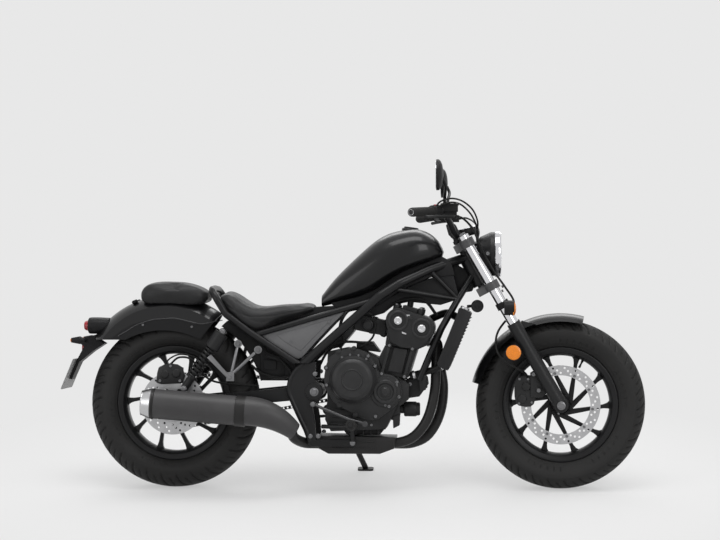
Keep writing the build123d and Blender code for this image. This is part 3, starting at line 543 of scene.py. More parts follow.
def tread_depth(turn, y, half_width):
    """Depth in millimetres of the tread pattern at a turn and a distance from the middle."""
    reach = abs(y) / half_width
    zigzag = 5.5 * (2 * abs(((turn * TREAD_PITCHES * 2 / (2 * math.pi)) % 1) - 0.5) - 0.5)
    left = y > 0
    return TREAD_DEPTH * max(
        groove(abs(y) - 11 - zigzag, 5.0),
        slanted_groove(turn, reach, 0.0 if left else 0.5, 0.16, 0.97, 0.05, 6.5),
        slanted_groove(turn, reach, 0.5 if left else 0.0, 0.5, 0.9, 0.06, 4.0))


def tyre_profile(radius, half_width, rim_half_width):
    """(radius, y) points of one side-wall, of the crown and of the other side-wall."""
    crown = radius - TREAD_CENTRE
    shoulder = TREAD_CENTRE + math.sqrt(crown ** 2 - half_width ** 2)
    lip = 220
    foot = rim_half_width + 6.7
    side = [(205, rim_half_width - 10), (205, rim_half_width - 1), (212, rim_half_width - 0.5),
            (lip - 1, rim_half_width + 0.5), (lip, foot - 3), (lip + 3, foot)]
    for i in range(1, 15):
        t = i / 15
        bulge = (half_width - 2 - foot) * math.sin(min(1, t * 1.25) * math.pi / 2)
        y = foot + bulge + (2.0 * t)
        if 0.18 < t < 0.24 or 0.84 < t < 0.92:
            y += 1.2
        if 0.42 < t < 0.72:
            y -= 0.5
        side.append((lip + 3 + (shoulder - lip - 3) * t, min(y, half_width)))
    limit = math.asin(half_width / crown)
    arc = []
    for i in range(41):
        angle = limit * (1 - i / 20)
        arc.append((TREAD_CENTRE + crown * math.cos(angle) - 0.2, crown * math.sin(angle) * 0.999))
    return side, arc, [(r, -y) for r, y in reversed(side)]


def make_tyre(name, axle, radius, half_width, rim_half_width, body, node):
    columns = 540
    side, arc, other = tyre_profile(radius, half_width, rim_half_width)
    form = Form()
    rings = []
    for column in range(columns):
        turn = column * 2 * math.pi / columns
        crown = []
        for r, y in arc:
            depth = tread_depth(turn, y, half_width)
            out = Vector((r - TREAD_CENTRE, y)).normalized()
            crown.append((r - out.x * depth, y - out.y * depth))
        rings.append([axle + Vector((math.cos(turn) * r, y, math.sin(turn) * r))
                      for r, y in side + crown + other])
    form.skin(rings, close=True)
    for turn in range(0, 360, 6):
        if turn % 60 < 36:
            angle = math.radians(turn)
            for sign in (-1, 1):
                y = sign * (half_width - 2.2)
                way = Vector((math.cos(angle), 0, math.sin(angle)))
                form.tube([axle + way * 236 + Vector((0, y - sign * 3.4, 0)),
                           axle + way * 250 + Vector((0, y - sign * 0.4, 0))], 1.3, 6)
    finish(form, name, RUBBER, body, sharp=50, replaced=[node])


make_tyre("front_tyre_tread", FRONT_AXLE, 322, 65, 38, "front_wheel", "front_tyre")
make_tyre("rear_tyre_tread", REAR_AXLE, 326, 75, 48, "rear_wheel", "rear_tyre")


# Screws, nuts and links: one node tree sets a part on every listed spot


def small_part(form, name):
    """Helper object for a part of a few dozen faces."""
    bmesh.ops.recalc_face_normals(form.bm, faces=form.bm.faces)
    mesh = bpy.data.meshes.new(name)
    form.bm.to_mesh(mesh)
    form.bm.free()
    return bpy.data.objects.new(name, mesh)


def screw_head():
    """Socket head with a hexagonal recess, of radius 1 and height 0.8."""
    form = Form()
    form.lathe([(0, -0.5), (0.98, -0.5), (1.0, 0.62), (0.88, 0.8), (0.56, 0.8)], (0, 0, 0),
               (0, 0, 1), 18)
    ring = [(0.52 * math.cos(i * math.pi / 3), 0.52 * math.sin(i * math.pi / 3))
            for i in range(6)]
    form.skin([[Vector((0.56 * math.cos(i * math.pi / 9), 0.56 * math.sin(i * math.pi / 9), 0.8))
                for i in range(18)],
               [Vector((*ring[(i // 3) % 6], 0.78)) for i in range(18)]])
    form.skin([[Vector((*p, 0.78)) for p in ring], [Vector((*p, 0.3)) for p in ring],
               [Vector((0, 0, 0.3))]])
    bmesh.ops.remove_doubles(form.bm, verts=form.bm.verts, dist=0.001)
    return small_part(form, "screw_head_form")


def nut_head():
    """Flanged hexagonal head of radius 1."""
    form = Form()
    form.lathe([(0, -0.5), (1.25, -0.5), (1.25, 0.12), (1.0, 0.2), (0.9, 0.2)], (0, 0, 0),
               (0, 0, 1), 18)
    ring = [Vector((0.98 * math.cos(i * math.pi / 3), 0.98 * math.sin(i * math.pi / 3), 0))
            for i in range(6)]
    form.skin([[Vector((0, 0, -0.4))], [p + Vector((0, 0, -0.4)) for p in ring],
               [p + Vector((0, 0, 0.66)) for p in ring],
               [p * 0.86 + Vector((0, 0, 0.78)) for p in ring], [Vector((0, 0, 0.78))]])
    return small_part(form, "nut_head_form")


def add_node(tree, kind, values=None, **settings):
    """A node with its input values or links, and its settings."""
    made = tree.nodes.new(kind)
    for key, value in settings.items():
        setattr(made, key, value)
    for key, value in (values or {}).items():
        if isinstance(value, bpy.types.NodeSocket):
            tree.links.new(value, made.inputs[key])
        else:
            made.inputs[key].default_value = value
    return made


def scatter_tree():
    """Sets a part on each point, turned to its facing vector and scaled by its size."""
    tree = bpy.data.node_groups.new("set_on_points", "GeometryNodeTree")
    face = tree.interface
    face.new_socket("Geometry", in_out="INPUT", socket_type="NodeSocketGeometry")
    face.new_socket("Part", in_out="INPUT", socket_type="NodeSocketObject")
    face.new_socket("Size", in_out="INPUT", socket_type="NodeSocketFloat")
    face.new_socket("Finish", in_out="INPUT", socket_type="NodeSocketMaterial")
    face.new_socket("Geometry", in_out="OUTPUT", socket_type="NodeSocketGeometry")
    inputs = add_node(tree, "NodeGroupInput")
    part = add_node(tree, "GeometryNodeObjectInfo", {"Object": inputs.outputs["Part"]})
    facing = add_node(tree, "GeometryNodeInputNamedAttribute", {"Name": "facing"},
                      data_type="FLOAT_VECTOR")
    ahead = add_node(tree, "GeometryNodeInputNamedAttribute", {"Name": "ahead"},
                     data_type="FLOAT_VECTOR")
    size = add_node(tree, "GeometryNodeInputNamedAttribute", {"Name": "size"},
                    data_type="FLOAT")
    up = add_node(tree, "FunctionNodeAxesToRotation",
                  {"Primary Axis": facing.outputs[0], "Secondary Axis": ahead.outputs[0]})
    up.primary_axis = "Z"
    up.secondary_axis = "X"
    scale = add_node(tree, "ShaderNodeMath", {0: size.outputs[0], 1: inputs.outputs["Size"]},
                     operation="MULTIPLY")
    spread = add_node(tree, "GeometryNodeInstanceOnPoints",
                      {"Points": inputs.outputs["Geometry"],
                       "Instance": part.outputs["Geometry"],
                       "Rotation": up.outputs[0], "Scale": scale.outputs[0]})
    real = add_node(tree, "GeometryNodeRealizeInstances", {"Geometry": spread.outputs[0]})
    dressed = add_node(tree, "GeometryNodeSetMaterial",
                       {"Geometry": real.outputs[0], "Material": inputs.outputs["Finish"]})
    add_node(tree, "NodeGroupOutput", {0: dressed.outputs[0]})
    return tree


SCATTER = scatter_tree()


def scatter(name, spots, part, material, body="frame", replaced=()):
    """One piece with the part on each spot: place, facing, size and maybe the way ahead."""
    turn = BIKE.to_3x3().normalized()
    mesh = bpy.data.meshes.new(name + "_spots")
    mesh.from_pydata([BIKE @ Vector(spot[0]) for spot in spots], [], [])
    facing = [(turn @ Vector(spot[1])).normalized() for spot in spots]
    ahead = [(turn @ Vector(spot[3])).normalized() if len(spot) > 3 else way.orthogonal()
             for spot, way in zip(spots, facing)]
    for title, ways in (("facing", facing), ("ahead", ahead)):
        layer = mesh.attributes.new(title, "FLOAT_VECTOR", "POINT")
        layer.data.foreach_set("vector", [value for way in ways for value in way])
    layer = mesh.attributes.new("size", "FLOAT", "POINT")
    layer.data.foreach_set("value", [spot[2] for spot in spots])
    holder = bpy.data.objects.new(name + "_spots", mesh)
    bpy.context.scene.collection.objects.link(holder)
    modifier = holder.modifiers.new("set", "NODES")
    modifier.node_group = SCATTER
    sockets = {item.name: item.identifier for item in SCATTER.interface.items_tree
               if item.in_out == "INPUT"}
    modifier[sockets["Part"]] = part
    modifier[sockets["Size"]] = MM
    modifier[sockets["Finish"]] = material
    bpy.context.view_layer.update()
    shaped = holder.evaluated_get(bpy.context.evaluated_depsgraph_get())
    result = bpy.data.meshes.new_from_object(shaped)
    holder.modifiers.remove(modifier)
    bpy.data.objects.remove(holder)
    result.name = name
    result.polygons.foreach_set("use_smooth", [True] * len(result.polygons))
    result.set_sharp_from_angle(angle=math.radians(30))
    place_object(name, result, material, body, replaced)


# Engine


CASE_HALF_WIDTH = 112
FLANGE = -140
CLUTCH = (691, 419)
CRANK = (814, 373)


def lobe(centre, radius, start, end, count=12):
    """(x, z) points on an arc, in degrees."""
    turns = [math.radians(start + (end - start) * i / count) for i in range(count + 1)]
    return [(centre[0] + radius * math.cos(t), centre[1] + radius * math.sin(t)) for t in turns]


def turned(form, centre, profile, sides=48, side=-1, close=False):
    """Form turned about an axis across the motorcycle, from (radius, distance) points."""
    return form.lathe(profile, (centre[0], 0, centre[1]), (0, side, 0), sides, close)


def crankcase_casting():
    form = Form()
    outline = [(594, 523), (662, 538), (719, 531), (787, 500), (805, 436), (870, 425),
               (904, 399), (900, 342), (851, 304), (813, 229), (605, 221), (583, 266),
               (592, 342), (590, 455)]
    form.plate(outline, -CASE_HALF_WIDTH, 60)
    form.plate([(602, 266), (660, 300), (780, 290), (830, 330), (790, 440), (720, 524),
                (660, 530), (600, 516)], 60, CASE_HALF_WIDTH)
    form.plate([(650, 226), (806, 226), (790, 206), (664, 206)], -74, 74)
    for x in (672, 700, 728, 756, 784):
        form.plate([(x - 3, 206), (x + 3, 206), (x + 3, 234), (x - 3, 234)], -92, 92)
    for x, z in ((904, 399), (590, 300)):
        turned(form, (x, z), [(0, -60), (20, -60), (20, 60), (0, 60)], 28)
    for x in (812, 836, 860):
        form.plate([(x - 3, 300), (x + 3, 300), (x + 3, 430), (x - 3, 430)], -116, -108)
    for z in (250, 276, 302):
        form.plate([(606, z - 3), (690, z - 3), (690, z + 3), (606, z + 3)], -118, -108)
    finish(form, "crankcase_casting", CAST, bevel=4, replaced=["crankcase"])


def side_covers_of_engine():
    form = Form()
    outline = [(588, 470), (600, 500), (624, 519), (652, 532), (681, 538), (712, 534), (741, 524),
               (760, 508), (772, 486), (784, 456), (796, 442), (818, 440), (843, 434),
               (862, 418), (872, 396), (878, 372), (874, 350), (860, 326), (838, 308),
               (812, 288), (787, 270), (764, 264), (741, 268), (712, 278), (688, 292),
               (660, 306), (636, 318), (618, 334), (604, 356), (592, 372), (583, 390),
               (582, 430)]
    form.plate(outline, -CASE_HALF_WIDTH, FLANGE)
    for x, z in ((590, 463), (592, 398), (749, 508), (775, 470), (858, 410), (866, 354),
                 (828, 318), (777, 280), (640, 322), (700, 284), (636, 524), (694, 536)):
        turned(form, (x, z), [(0, 108), (9.5, 108), (9.5, 144), (0, 144)], 20)
    form.plate([(584, 440), (600, 470), (636, 500), (700, 512), (742, 480), (742, 400),
                (724, 300), (600, 296), (584, 340)], CASE_HALF_WIDTH, CASE_HALF_WIDTH + 22)
    finish(form, "engine_flanges", COVER_CAST, bevel=3)
    form = Form()
    turned(form, CLUTCH, [(0, 130), (90, 130), (90, 156), (88.5, 160), (85, 163), (82, 168),
                          (80, 174), (74, 180), (69, 182), (66, 184.5), (64, 185), (50, 184),
                          (30, 185.5), (0, 186)], 96)
    turned(form, CRANK, [(0, 130), (58, 130), (58, 144), (56, 147), (46, 148), (44, 150),
                         (44, 155), (42, 157), (34, 157), (31.5, 155), (30, 151), (20, 151),
                         (19, 153), (19, 157), (17, 158.5), (0, 158.5)], 72)
    turned(form, CRANK, [(0, 100), (84, 100), (84, 138), (81, 143), (72, 147), (64, 156),
                         (60, 161), (54, 163), (0, 163)], 96, 1)
    for turn in (56, 76, 96, 116):
        t = math.radians(turn)
        place = (CLUTCH[0] + 92 * math.cos(t), CLUTCH[1] + 92 * math.sin(t))
        turned(form, place, [(0, 134), (7, 134), (7, 152), (6, 154), (0, 154)], 16)
    for turn in range(0, 360, 45):
        t = math.radians(turn)
        place = (CRANK[0] + 80 * math.cos(t), CRANK[1] + 80 * math.sin(t))
        turned(form, place, [(0, 108), (9, 108), (9, 144), (0, 144)], 16, 1)
    finish(form, "engine_covers_turned", COVER_CAST, replaced=["engine_covers"])
    form = Form()
    turned(form, CLUTCH, [(34, 185.2), (37, 186.8), (39, 186.8), (41, 185.2)], 72, close=True)
    finish(form, "clutch_cover_ring", COVER_CAST)


def cylinders():
    form = Form()
    form.plate([(787.5, 500.5), (812, 549), (932, 530), (899, 425), (870, 425.5),
                (805.5, 436.5)], -116, 116)
    form.plate([(822, 452), (846, 540), (898, 532), (876, 442)], -128, 128)
    for low, high in (((800, 440), (828, 545)), ((886, 428), (915, 532))):
        form.plate([(low[0] - 6, low[1]), (low[0] + 6, low[1]), (high[0] + 6, high[1]),
                    (high[0] - 6, high[1])], -140, 140)
    for x, z in ((829, 548), (916, 535), (800, 441), (886, 430)):
        turned(form, (x, z), [(0, -141), (9, -141), (9, 141), (0, 141)], 20)
    finish(form, "cylinder_casting", CAST, bevel=2.5, replaced=["cylinder_block"])


HEAD_LOBES = ((862, 642), (951, 612))


def head():
    form = Form()
    form.plate([(812, 549.5), (820, 600), (986, 592), (975, 549), (932, 530.5)], -118, 118)
    form.plate([(826, 552), (818, 606), (990, 600), (966, 560), (948, 536)], -134, 134)
    first, second = HEAD_LOBES
    outline = lobe(second, 47, -38, 78, 14) + lobe(first, 47, 62, 196, 16)
    outline += [(823, 602), (834, 560), (872, 540), (928, 534), (958, 548)]
    form.plate(outline, -143, 143)
    finish(form, "cylinder_head_casting", CAST, bevel=4, replaced=["cylinder_head"])
    form = Form()
    for x, z in HEAD_LOBES:
        turned(form, (x, z), [(30, 138), (38, 138), (38, 146), (36, 147.5), (31, 147.5),
                              (29, 146)], 48, close=True)
        turned(form, (x, z), [(30, 138), (38, 138), (38, 146), (36, 147.5), (31, 147.5),
                              (29, 146)], 48, 1, close=True)
    form.tube([(896, -144, 655), (917, -144, 648)], 2, 8)
    form.prism([(898, -146, 661), (915, -146, 656), (913, -146, 645), (899, -146, 649)],
               (0, 5, 0))
    finish(form, "cam_cover_rims", COVER_CAST)
    form = Form()
    for y in (-90, 0, 90):
        form.lathe([(0, 0), (13, 0), (13, 28), (11, 31), (0, 31)], (850, y, 670), (0.2, 0, 1), 20)
        form.lathe([(0, 0), (13, 0), (13, 28), (11, 31), (0, 31)], (940, y, 655), (0.26, 0, 1),
                   20)
    for y in (-62, 62):
        form.lathe([(0, 0), (25, 0), (25, 36), (23, 40), (0, 40)], (954, y, 590), (50, 0, -30),
                   28)
    form.plate([(872, 676), (930, 660), (934, 684), (880, 700)], -104, 104)
    finish(form, "head_top", CAST, bevel=2)
    form = Form()
    form.prism([(890, -144, 664), (906, -144, 664), (906, -144, 655), (890, -144, 658)],
               (0, -1.6, 0))
    form.prism([(876, -144, 600), (893, -144, 594), (893, -144, 589), (878, -144, 593)],
               (0, -2.5, 0))
    finish(form, "head_tabs", STEEL)


def throttle_bodies():
    form = Form()
    form.plate([(694, 606), (690, 668), (812, 640), (812, 582)], -84, 84)
    for side in (-1, 1):
        turned(form, (745, 624), [(0, 60), (24, 60), (24, 98), (22, 104), (16, 106), (16, 112),
                                  (0, 112)], 36, side)
    for y in (-50, 50):
        form.lathe([(0, -4), (34, -4), (34, 10), (29, 16), (29, 40), (33, 46), (33, 60), (0, 60)],
                   (812, y, 610), (-1, 0, 0.25), 32)
    form.tube([(716, -96, 668), (716, 96, 668)], 10, 18)
    form.plate([(700, 560), (760, 560), (790, 520), (700, 530)], -60, 60)
    form.plate([(640, 540), (690, 600), (690, 640), (600, 590), (560, 520)], -70, 70)
    finish(form, "throttle_casting", SATIN, bevel=2, replaced=["intake"])
    form = Form()
    form.plate([(700, 676), (860, 748), (932, 786), (1010, 812), (1070, 816), (1086, 752),
                (1088, 722), (1020, 700), (900, 712), (840, 700), (800, 668), (740, 650)],
               -62, 62)
    finish(form, "air_box", PLASTIC, bevel=6)
    form = Form()
    form.tube(smooth_line([(716, -94, 668), (764, -104, 662), (774, -108, 628), (768, -110, 586),
                           (748, -112, 560), (722, -112, 543), (690, -104, 532)], 5), 4, 10)
    form.tube(smooth_line([(702, -60, 700), (660, -90, 668), (640, -96, 620), (652, -96, 572),
                           (640, -90, 536)], 5), 6, 10)
    form.tube(smooth_line([(560, -70, 470), (590, -92, 520), (640, -100, 556), (700, -104, 560),
                           (770, -100, 548)], 5), 5, 10)
    form.tube(smooth_line([(1006, -40, 660), (960, -60, 716), (890, -70, 722), (830, -60, 700)],
                          5), 6, 10)
    finish(form, "engine_hoses", CABLE)


def filter_and_lower_casting():
    form = Form()
    form.lathe([(0, 0), (17, 0), (17, 48), (27, 50), (28.5, 54), (28.5, 92), (27, 96), (25, 98),
                (25, 106), (22, 110), (0, 110)], (832, -50, 304), (1, 0, 0), 36)
    finish(form, "oil_filter", SATIN)
    form = Form()
    form.plate([(836, 262), (868, 282), (866, 318), (838, 330), (820, 300)], -96, -40)
    form.plate([(842, 232), (866, 244), (868, 286), (840, 276)], -104, -66)
    finish(form, "lower_casting", CAST, bevel=3)


crankcase_casting()
side_covers_of_engine()
cylinders()
head()
throttle_bodies()
filter_and_lower_casting()


# Exhaust


def exhaust():
    form = Form()
    near = [(986, 568), (1000, 548), (1004, 500), (1002, 440), (1000, 390), (990, 330),
            (972, 272), (946, 228), (910, 194), (862, 177), (800, 172)]
    far = [(986, 568), (1006, 548), (1008, 500), (1022, 430), (1028, 380), (1022, 310),
           (1000, 244), (962, 192), (910, 168), (860, 164), (800, 166)]
    for y, route in ((-62, near), (62, far)):
        form.tube(smooth_line([(x, y, z) for x, z in route], 4), 19, 24)
    form.plate([(540, 178), (566, 152), (596, 136), (792, 136), (846, 156), (850, 198),
                (552, 204)], 95, -110)
    for z in (158, 182):
        form.plate([(610, z - 3), (776, z - 3), (776, z + 3), (610, z + 3)], -108, -113)
    form.tube(smooth_line([(640, -80, 168), (560, -85, 174), (505, -108, 178),
                           (470, -160, 200), (462, -186, 230)], 5), 20, 24)
    finish(form, "exhaust_system", PIPE_COAT, bevel=5, sharp=40, replaced=["exhaust_pipes"])


def silencer_trim():
    """Front band, rear rolled edge, and a black disc inside the outlet as painted shade of the
    pipe's depth.
    """
    rear, front = Vector((-66, -215, 330)), Vector((262, -215, 303))
    axis = (front - rear).normalized()
    form = Form()
    form.lathe([(56, -8), (58.4, -7), (58.4, 30), (56, 31)], front, axis, 72, close=True)
    form.lathe([(56, 0), (58.6, 1.5), (58.6, 8), (56, 9.5)], rear + axis * 4, axis, 72,
               close=True)
    finish(form, "silencer_bands", PIPE_COAT)
    form = Form()
    end = rear - axis * 34
    form.lathe([(25, 10), (27, 3), (27, -3), (24.4, -3.6), (23.6, 10)], end, axis, 48,
               close=True)
    form.lathe([(46.4, 4), (47.6, 0), (46, -2.2), (42, -1), (40, 4)], end, axis, 64, close=True)
    finish(form, "outlet_rim", STEEL)
    # Black disc a little inside the outlet: painted shade of the pipe's depth.
    form = Form()
    form.lathe([(0, 22), (23.9, 22), (23.9, 10), (0, 20)], end, axis, 40)
    finish(form, "outlet_dark", PLASTIC)


exhaust()
silencer_trim()


# Springs and discs


def springs():
    low_eye, high_eye = Vector((52, 160, 384)), Vector((199, 160, 600))
    run = high_eye - low_eye
    form = Form()
    for side in (-1, 1):
        low = low_eye + run * 0.215
        along = run.normalized()
        across = along.orthogonal().normalized()
        other = along.cross(across)
        height = run.length * 0.505
        line = []
        for i in range(9 * 24 + 1):
            t = i * 2 * math.pi / 24
            line.append(low + along * (height * i / (9 * 24))
                        + (across * math.cos(t) + other * math.sin(t)) * 18.5)
        form.tube([(p.x, p.y * side, p.z) for p in line], 4.5, 10)
        for share, size in ((0.2, 24), (0.725, 26)):
            spot = low_eye + run * share
            form.lathe([(0, -4), (size, -4), (size, 3), (0, 3)], (spot.x, spot.y * side, spot.z),
                       (run.x, 0, run.z), 32)
    finish(form, "coil_springs", SPRING_COAT, replaced=["shock_springs"])


def drilled_disc(name, axle, radius, inner, y, rows, holes, body, node, carrier):
    """Braking ring with staggered holes, and its centre where it has one."""
    form = Form()
    loops = [oval((0, 0), radius, radius, 120), oval((0, 0), inner, inner, 80)]
    for row in range(rows):
        reach = inner + (radius - inner) * (row + 1) / (rows + 1)
        for i in range(holes):
            t = 2 * math.pi * (i + row / rows) / holes
            loops.append(oval((reach * math.cos(t), reach * math.sin(t)), 4.2, 4.2, 12))
    form.holed(loops, y - 2.5, y + 2.5)
    if carrier:
        loops = [oval((0, 0), inner + 1, inner + 1, 80), oval((0, 0), 12, 12, 24)]
        for i in range(6):
            t = i * math.pi / 3
            loops.append(oval((50 * math.cos(t), 50 * math.sin(t)), 11, 11, 20))
        form.holed(loops, y - 2.2, y + 2.2)
        form.lathe([(12, 0), (34, 0), (34, 18), (12, 18)], (0, -96, 0), (0, 1, 0), 40, close=True)
    for vert in form.bm.verts:
        vert.co += axle
    finish(form, name, DISC_STEEL, body, replaced=[node])


springs()
drilled_disc("front_disc_drilled", FRONT_AXLE, 150, 112, -64, 3, 20, "front_wheel",
             "front_brake_disc", False)
drilled_disc("rear_disc_drilled", REAR_AXLE, 120, 70, -96, 3, 16, "rear_wheel",
             "rear_brake_disc", True)


def calipers():
    form = Form()
    form.plate([(1301, 352), (1306, 330), (1316, 320), (1340, 315), (1362, 316), (1374, 326),
                (1380, 345), (1384, 385), (1384, 425), (1366, 434), (1340, 436), (1318, 428),
                (1304, 410), (1300, 380)], -74, -91)
    form.plate([(1301, 352), (1312, 322), (1338, 320), (1342, 352), (1352, 380), (1368, 408),
                (1382, 428), (1340, 436), (1304, 410)], -48, -56)
    for x, z in ((1330, 345), (1345, 392)):
        turned(form, (x, z), [(0, 84), (17, 84), (17, 94), (15, 97), (0, 97)], 32)
    form.plate([(1360, 446), (1400, 430), (1440, 385), (1405, 350), (1362, 352)], -80, -100)
    for x, z in ((1373, 439), (1392, 378)):
        turned(form, (x, z), [(0, 84), (12, 84), (12, 106), (0, 106)], 24)
    finish(form, "front_caliper_halves", CALIPER_CAST, "fork", bevel=3,
           replaced=["front_brake_caliper"])
    form = Form()
    form.plate([(-61, 404), (-58, 440), (-52, 462), (-30, 474), (-8, 478), (20, 474), (40, 462),
                (48, 430), (40, 402), (-40, 398)], -102, -118)
    form.plate([(-61, 404), (-52, 466), (40, 462), (40, 402)], -82, -90)
    for x, z in ((-28, 436), (16, 440)):
        turned(form, (x, z), [(0, 110), (16, 110), (16, 120), (14, 124), (0, 124)], 32)
    finish(form, "rear_caliper_halves", CALIPER_CAST, bevel=3, replaced=["rear_brake_caliper"])


calipers()


# Tank


def tank_ring(x, low, high, half, count=72):
    """Points round the tank at x: soft belly, full sides, rounded top."""
    ring = []
    middle = low + (high - low) * 0.42
    for i in range(count):
        t = i * 2 * math.pi / count
        up, out = math.sin(t), math.cos(t)
        rise = (high - middle) if up > 0 else (middle - low)
        power = 0.80 if up > 0 else 0.62
        wide = 0.86 if up > 0 else 0.50
        ring.append(Vector((x, half * math.copysign(abs(out) ** wide, out),
                            middle + rise * math.copysign(abs(up) ** power, up))))
    return ring


def tank():
    stations = [(566, 694, 738, 58), (600, 702, 782, 72), (633, 710, 819, 84),
                (700, 726, 884, 102), (767, 754, 942, 116), (820, 790, 972, 123),
                (880, 826, 987, 126), (930, 846, 990, 121), (975, 862, 975, 107),
                (1008, 876, 948, 88), (1026, 886, 918, 72)]
    xs = [x for x, _, _, _ in stations]
    lows, highs, halves = ([s[k] for s in stations] for k in (1, 2, 3))
    lines = [smooth_line([(x, value, 0) for x, value in zip(xs, values)], 6)
             for values in (lows, highs, halves)]
    rings = [[Vector((562, 0, 716))]]
    for low, high, half in zip(*lines):
        rings.append(tank_ring(low.x, low.y, high.y, half.y))
    rings.append([Vector((1032, 0, 902))])
    form = Form()
    form.skin(rings)
    finish(form, "tank_shell", TANK_PAINT, sharp=60, replaced=["fuel_tank"])
    form = Form()
    form.lathe([(0, 16), (26, 16), (28, 14), (28, 10), (33, 9), (35, 6), (35, -12), (0, -12)],
               (905, 0, 982), (math.sin(math.radians(8)), 0, math.cos(math.radians(8))), 48)
    finish(form, "filler_cap", SATIN, replaced=["fuel_cap"])


tank()


# Handlebar, mirrors and cables


def bar_point(y):
    start, end = Vector((1002, 275, 1050)), Vector((921, 410, 1042))
    side = -1 if y < 0 else 1
    point = start + (end - start) * ((abs(y) - start.y) / (end.y - start.y))
    return Vector((point.x, side * point.y, point.z))


def mirror_heads():
    form = Form()
    for side in (-1, 1):
        form.lathe([(0, 0), (57, 0), (57.6, 2), (57, 10), (50, 17), (38, 22), (20, 25.5), (0, 27)],
                   (1012, side * 350, 1182), (1, 0, 0), 56)
        form.tube(smooth_line([(1040, side * 240, 1046), (1040, side * 240, 1090),
                               (1042, side * 258, 1114), (1046, side * 322, 1142),
                               (1036, side * 350, 1168)], 5), 6, 14)
        form.lathe([(0, -14), (10, -14), (10, 6), (7, 10), (0, 10)], (1040, side * 240, 1060),
                   (0, 0, 1), 20)
    finish(form, "mirror_heads", PLASTIC, "fork", replaced=["mirrors"])


def controls():
    form = Form()
    for side in (-1, 1):
        inner, outer = bar_point(side * 243), bar_point(side * 284)
        way = (outer - inner).normalized()
        length = (outer - inner).length
        form.lathe([(0, 0), (21, 0), (23, 2), (23, 10), (20.5, 12), (20.5, length - 3),
                    (18, length), (0, length)], inner, way, 32)
        form.block((1050, side * 240, 1038), (72, 22, 28))
        form.tube(smooth_line([(1076, side * 240, 1034), (1068, side * 275, 1032),
                               (1010, side * 345, 1028), (975, side * 412, 1024)], 6),
                  [6] * 18 + [6.5], 12)
    form.block((1059, -240, 1063), (62, 40, 28))
    form.block((1059, -240, 1076), (68, 46, 7))
    finish(form, "control_housings", PLASTIC, "fork", bevel=2.5, sharp=40,
           replaced=["handlebar_controls"])


def bare_handlebar():
    form = Form()
    half = [(1084, 0, 962), (1082, 40, 963), (1074, 90, 972), (1052, 170, 1022),
            (1030, 232, 1044), (1002, 275, 1050), (921, 410, 1042)]
    for side in (-1, 1):
        form.tube(smooth_line([(x, side * y, z) for x, y, z in half], 6), 11, 20)
        form.lathe([(0, -13), (19, -13), (19, 13), (0, 13)], (1083, side * 44, 963), (0, 1, 0),
                   28)
        form.block((1083, side * 44, 963), (48, 24, 12))
        form.tube([(1083, side * 44, 930), (1083, side * 44, 963)], 13, 20)
    finish(form, "handlebar_bent", SATIN, "fork", bevel=1.5, sharp=40, replaced=["handlebar"])


def meter():
    tilt = math.radians(15)
    up = Vector((-math.sin(tilt), 0, math.cos(tilt)))
    form = Form()
    form.lathe([(0, -14), (30, -14), (36, -8), (38, 0), (38, 14), (0, 14)],
               Vector((1120, 0, 977)), up, 56)
    form.tube([(1120, 0, 966), (1096, 0, 946)], 12, 16)
    finish(form, "meter_case", PLASTIC, "fork", replaced=["instrument"])


def cables():
    form = Form()
    for route in (
            [(1006, -264, 1056), (1022, -268, 1084), (1062, -260, 1098), (1104, -205, 1091),
             (1142, -135, 1062), (1161, -80, 1020), (1160, -50, 985), (1158, -36, 950),
             (1170, -32, 918)],
            [(1002, -276, 1054), (1024, -281, 1070), (1064, -272, 1083), (1100, -214, 1077),
             (1133, -140, 1048), (1153, -80, 1012), (1161, -36, 978), (1158, -20, 948),
             (1170, -16, 916)],
            [(1084, 240, 1036), (1112, 224, 1040), (1140, 172, 1026), (1158, 110, 1004),
             (1165, 58, 980), (1162, 30, 950), (1172, 20, 918)]):
        form.tube(smooth_line(route, 6), 3.5, 10)
    finish(form, "control_cables", CABLE, "fork")
    form = Form()
    form.tube(smooth_line([(1084, -238, 1034), (1112, -214, 1022), (1142, -170, 990),
                           (1162, -138, 948), (1186, -120, 894), (1222, -112, 830),
                           (1266, -110, 768), (1298, -104, 716), (1293, -85, 668),
                           (1262, -84, 634), (1238, -98, 598), (1230, -120, 560),
                           (1237, -133, 522), (1262, -138, 490), (1304, -134, 466),
                           (1340, -112, 444), (1352, -84, 424)], 6), 4.2, 10)
    finish(form, "front_brake_hose", CABLE, "fork")


mirror_heads()
controls()
bare_handlebar()
meter()
cables()


# Tail


def rounded_box(stations, middle_z, ends):
    """Closed form along X through (x, half width, half height) stations with soft corners."""
    form = Form()
    rings = []
    for x, half, tall in stations:
        ring = []
        for i in range(40):
            t = i * 2 * math.pi / 40
            out, up = math.cos(t), math.sin(t)
            ring.append(Vector((x, half * math.copysign(abs(out) ** 0.7, out),
                                middle_z + tall * math.copysign(abs(up) ** 0.8, up))))
        rings.append(ring)
    form.skin([[Vector((ends[0], 0, middle_z))], *rings, [Vector((ends[1], 0, middle_z))]])
    return form


def tail():
    form = rounded_box(((-256, 58, 30), (-300, 61, 32), (-326, 62, 32), (-334, 61, 31),
                        (-336, 57, 27)), 620, (-256, -335))
    finish(form, "tail_housing", PLASTIC, sharp=40)
    form = rounded_box(((-330, 51, 20), (-346, 50, 19.5), (-351, 46, 17), (-353, 36, 12)), 620,
                       (-330, -353.5))
    finish(form, "tail_lens", RED_LENS, sharp=40, replaced=["tail_light"])
    form = Form()
    for side in (-1, 1):
        form.lathe([(0, 16), (8, 16), (15, 0), (15, -2), (9, -34), (0, -34)],
                   (-350, side * 132, 566), (1, 0, 0), 32)
        form.tube([(-345, side * 38, 562), (-352, side * 124, 566)], 6, 16)
    finish(form, "rear_signals", PLASTIC, replaced=["rear_indicators"])


tail()


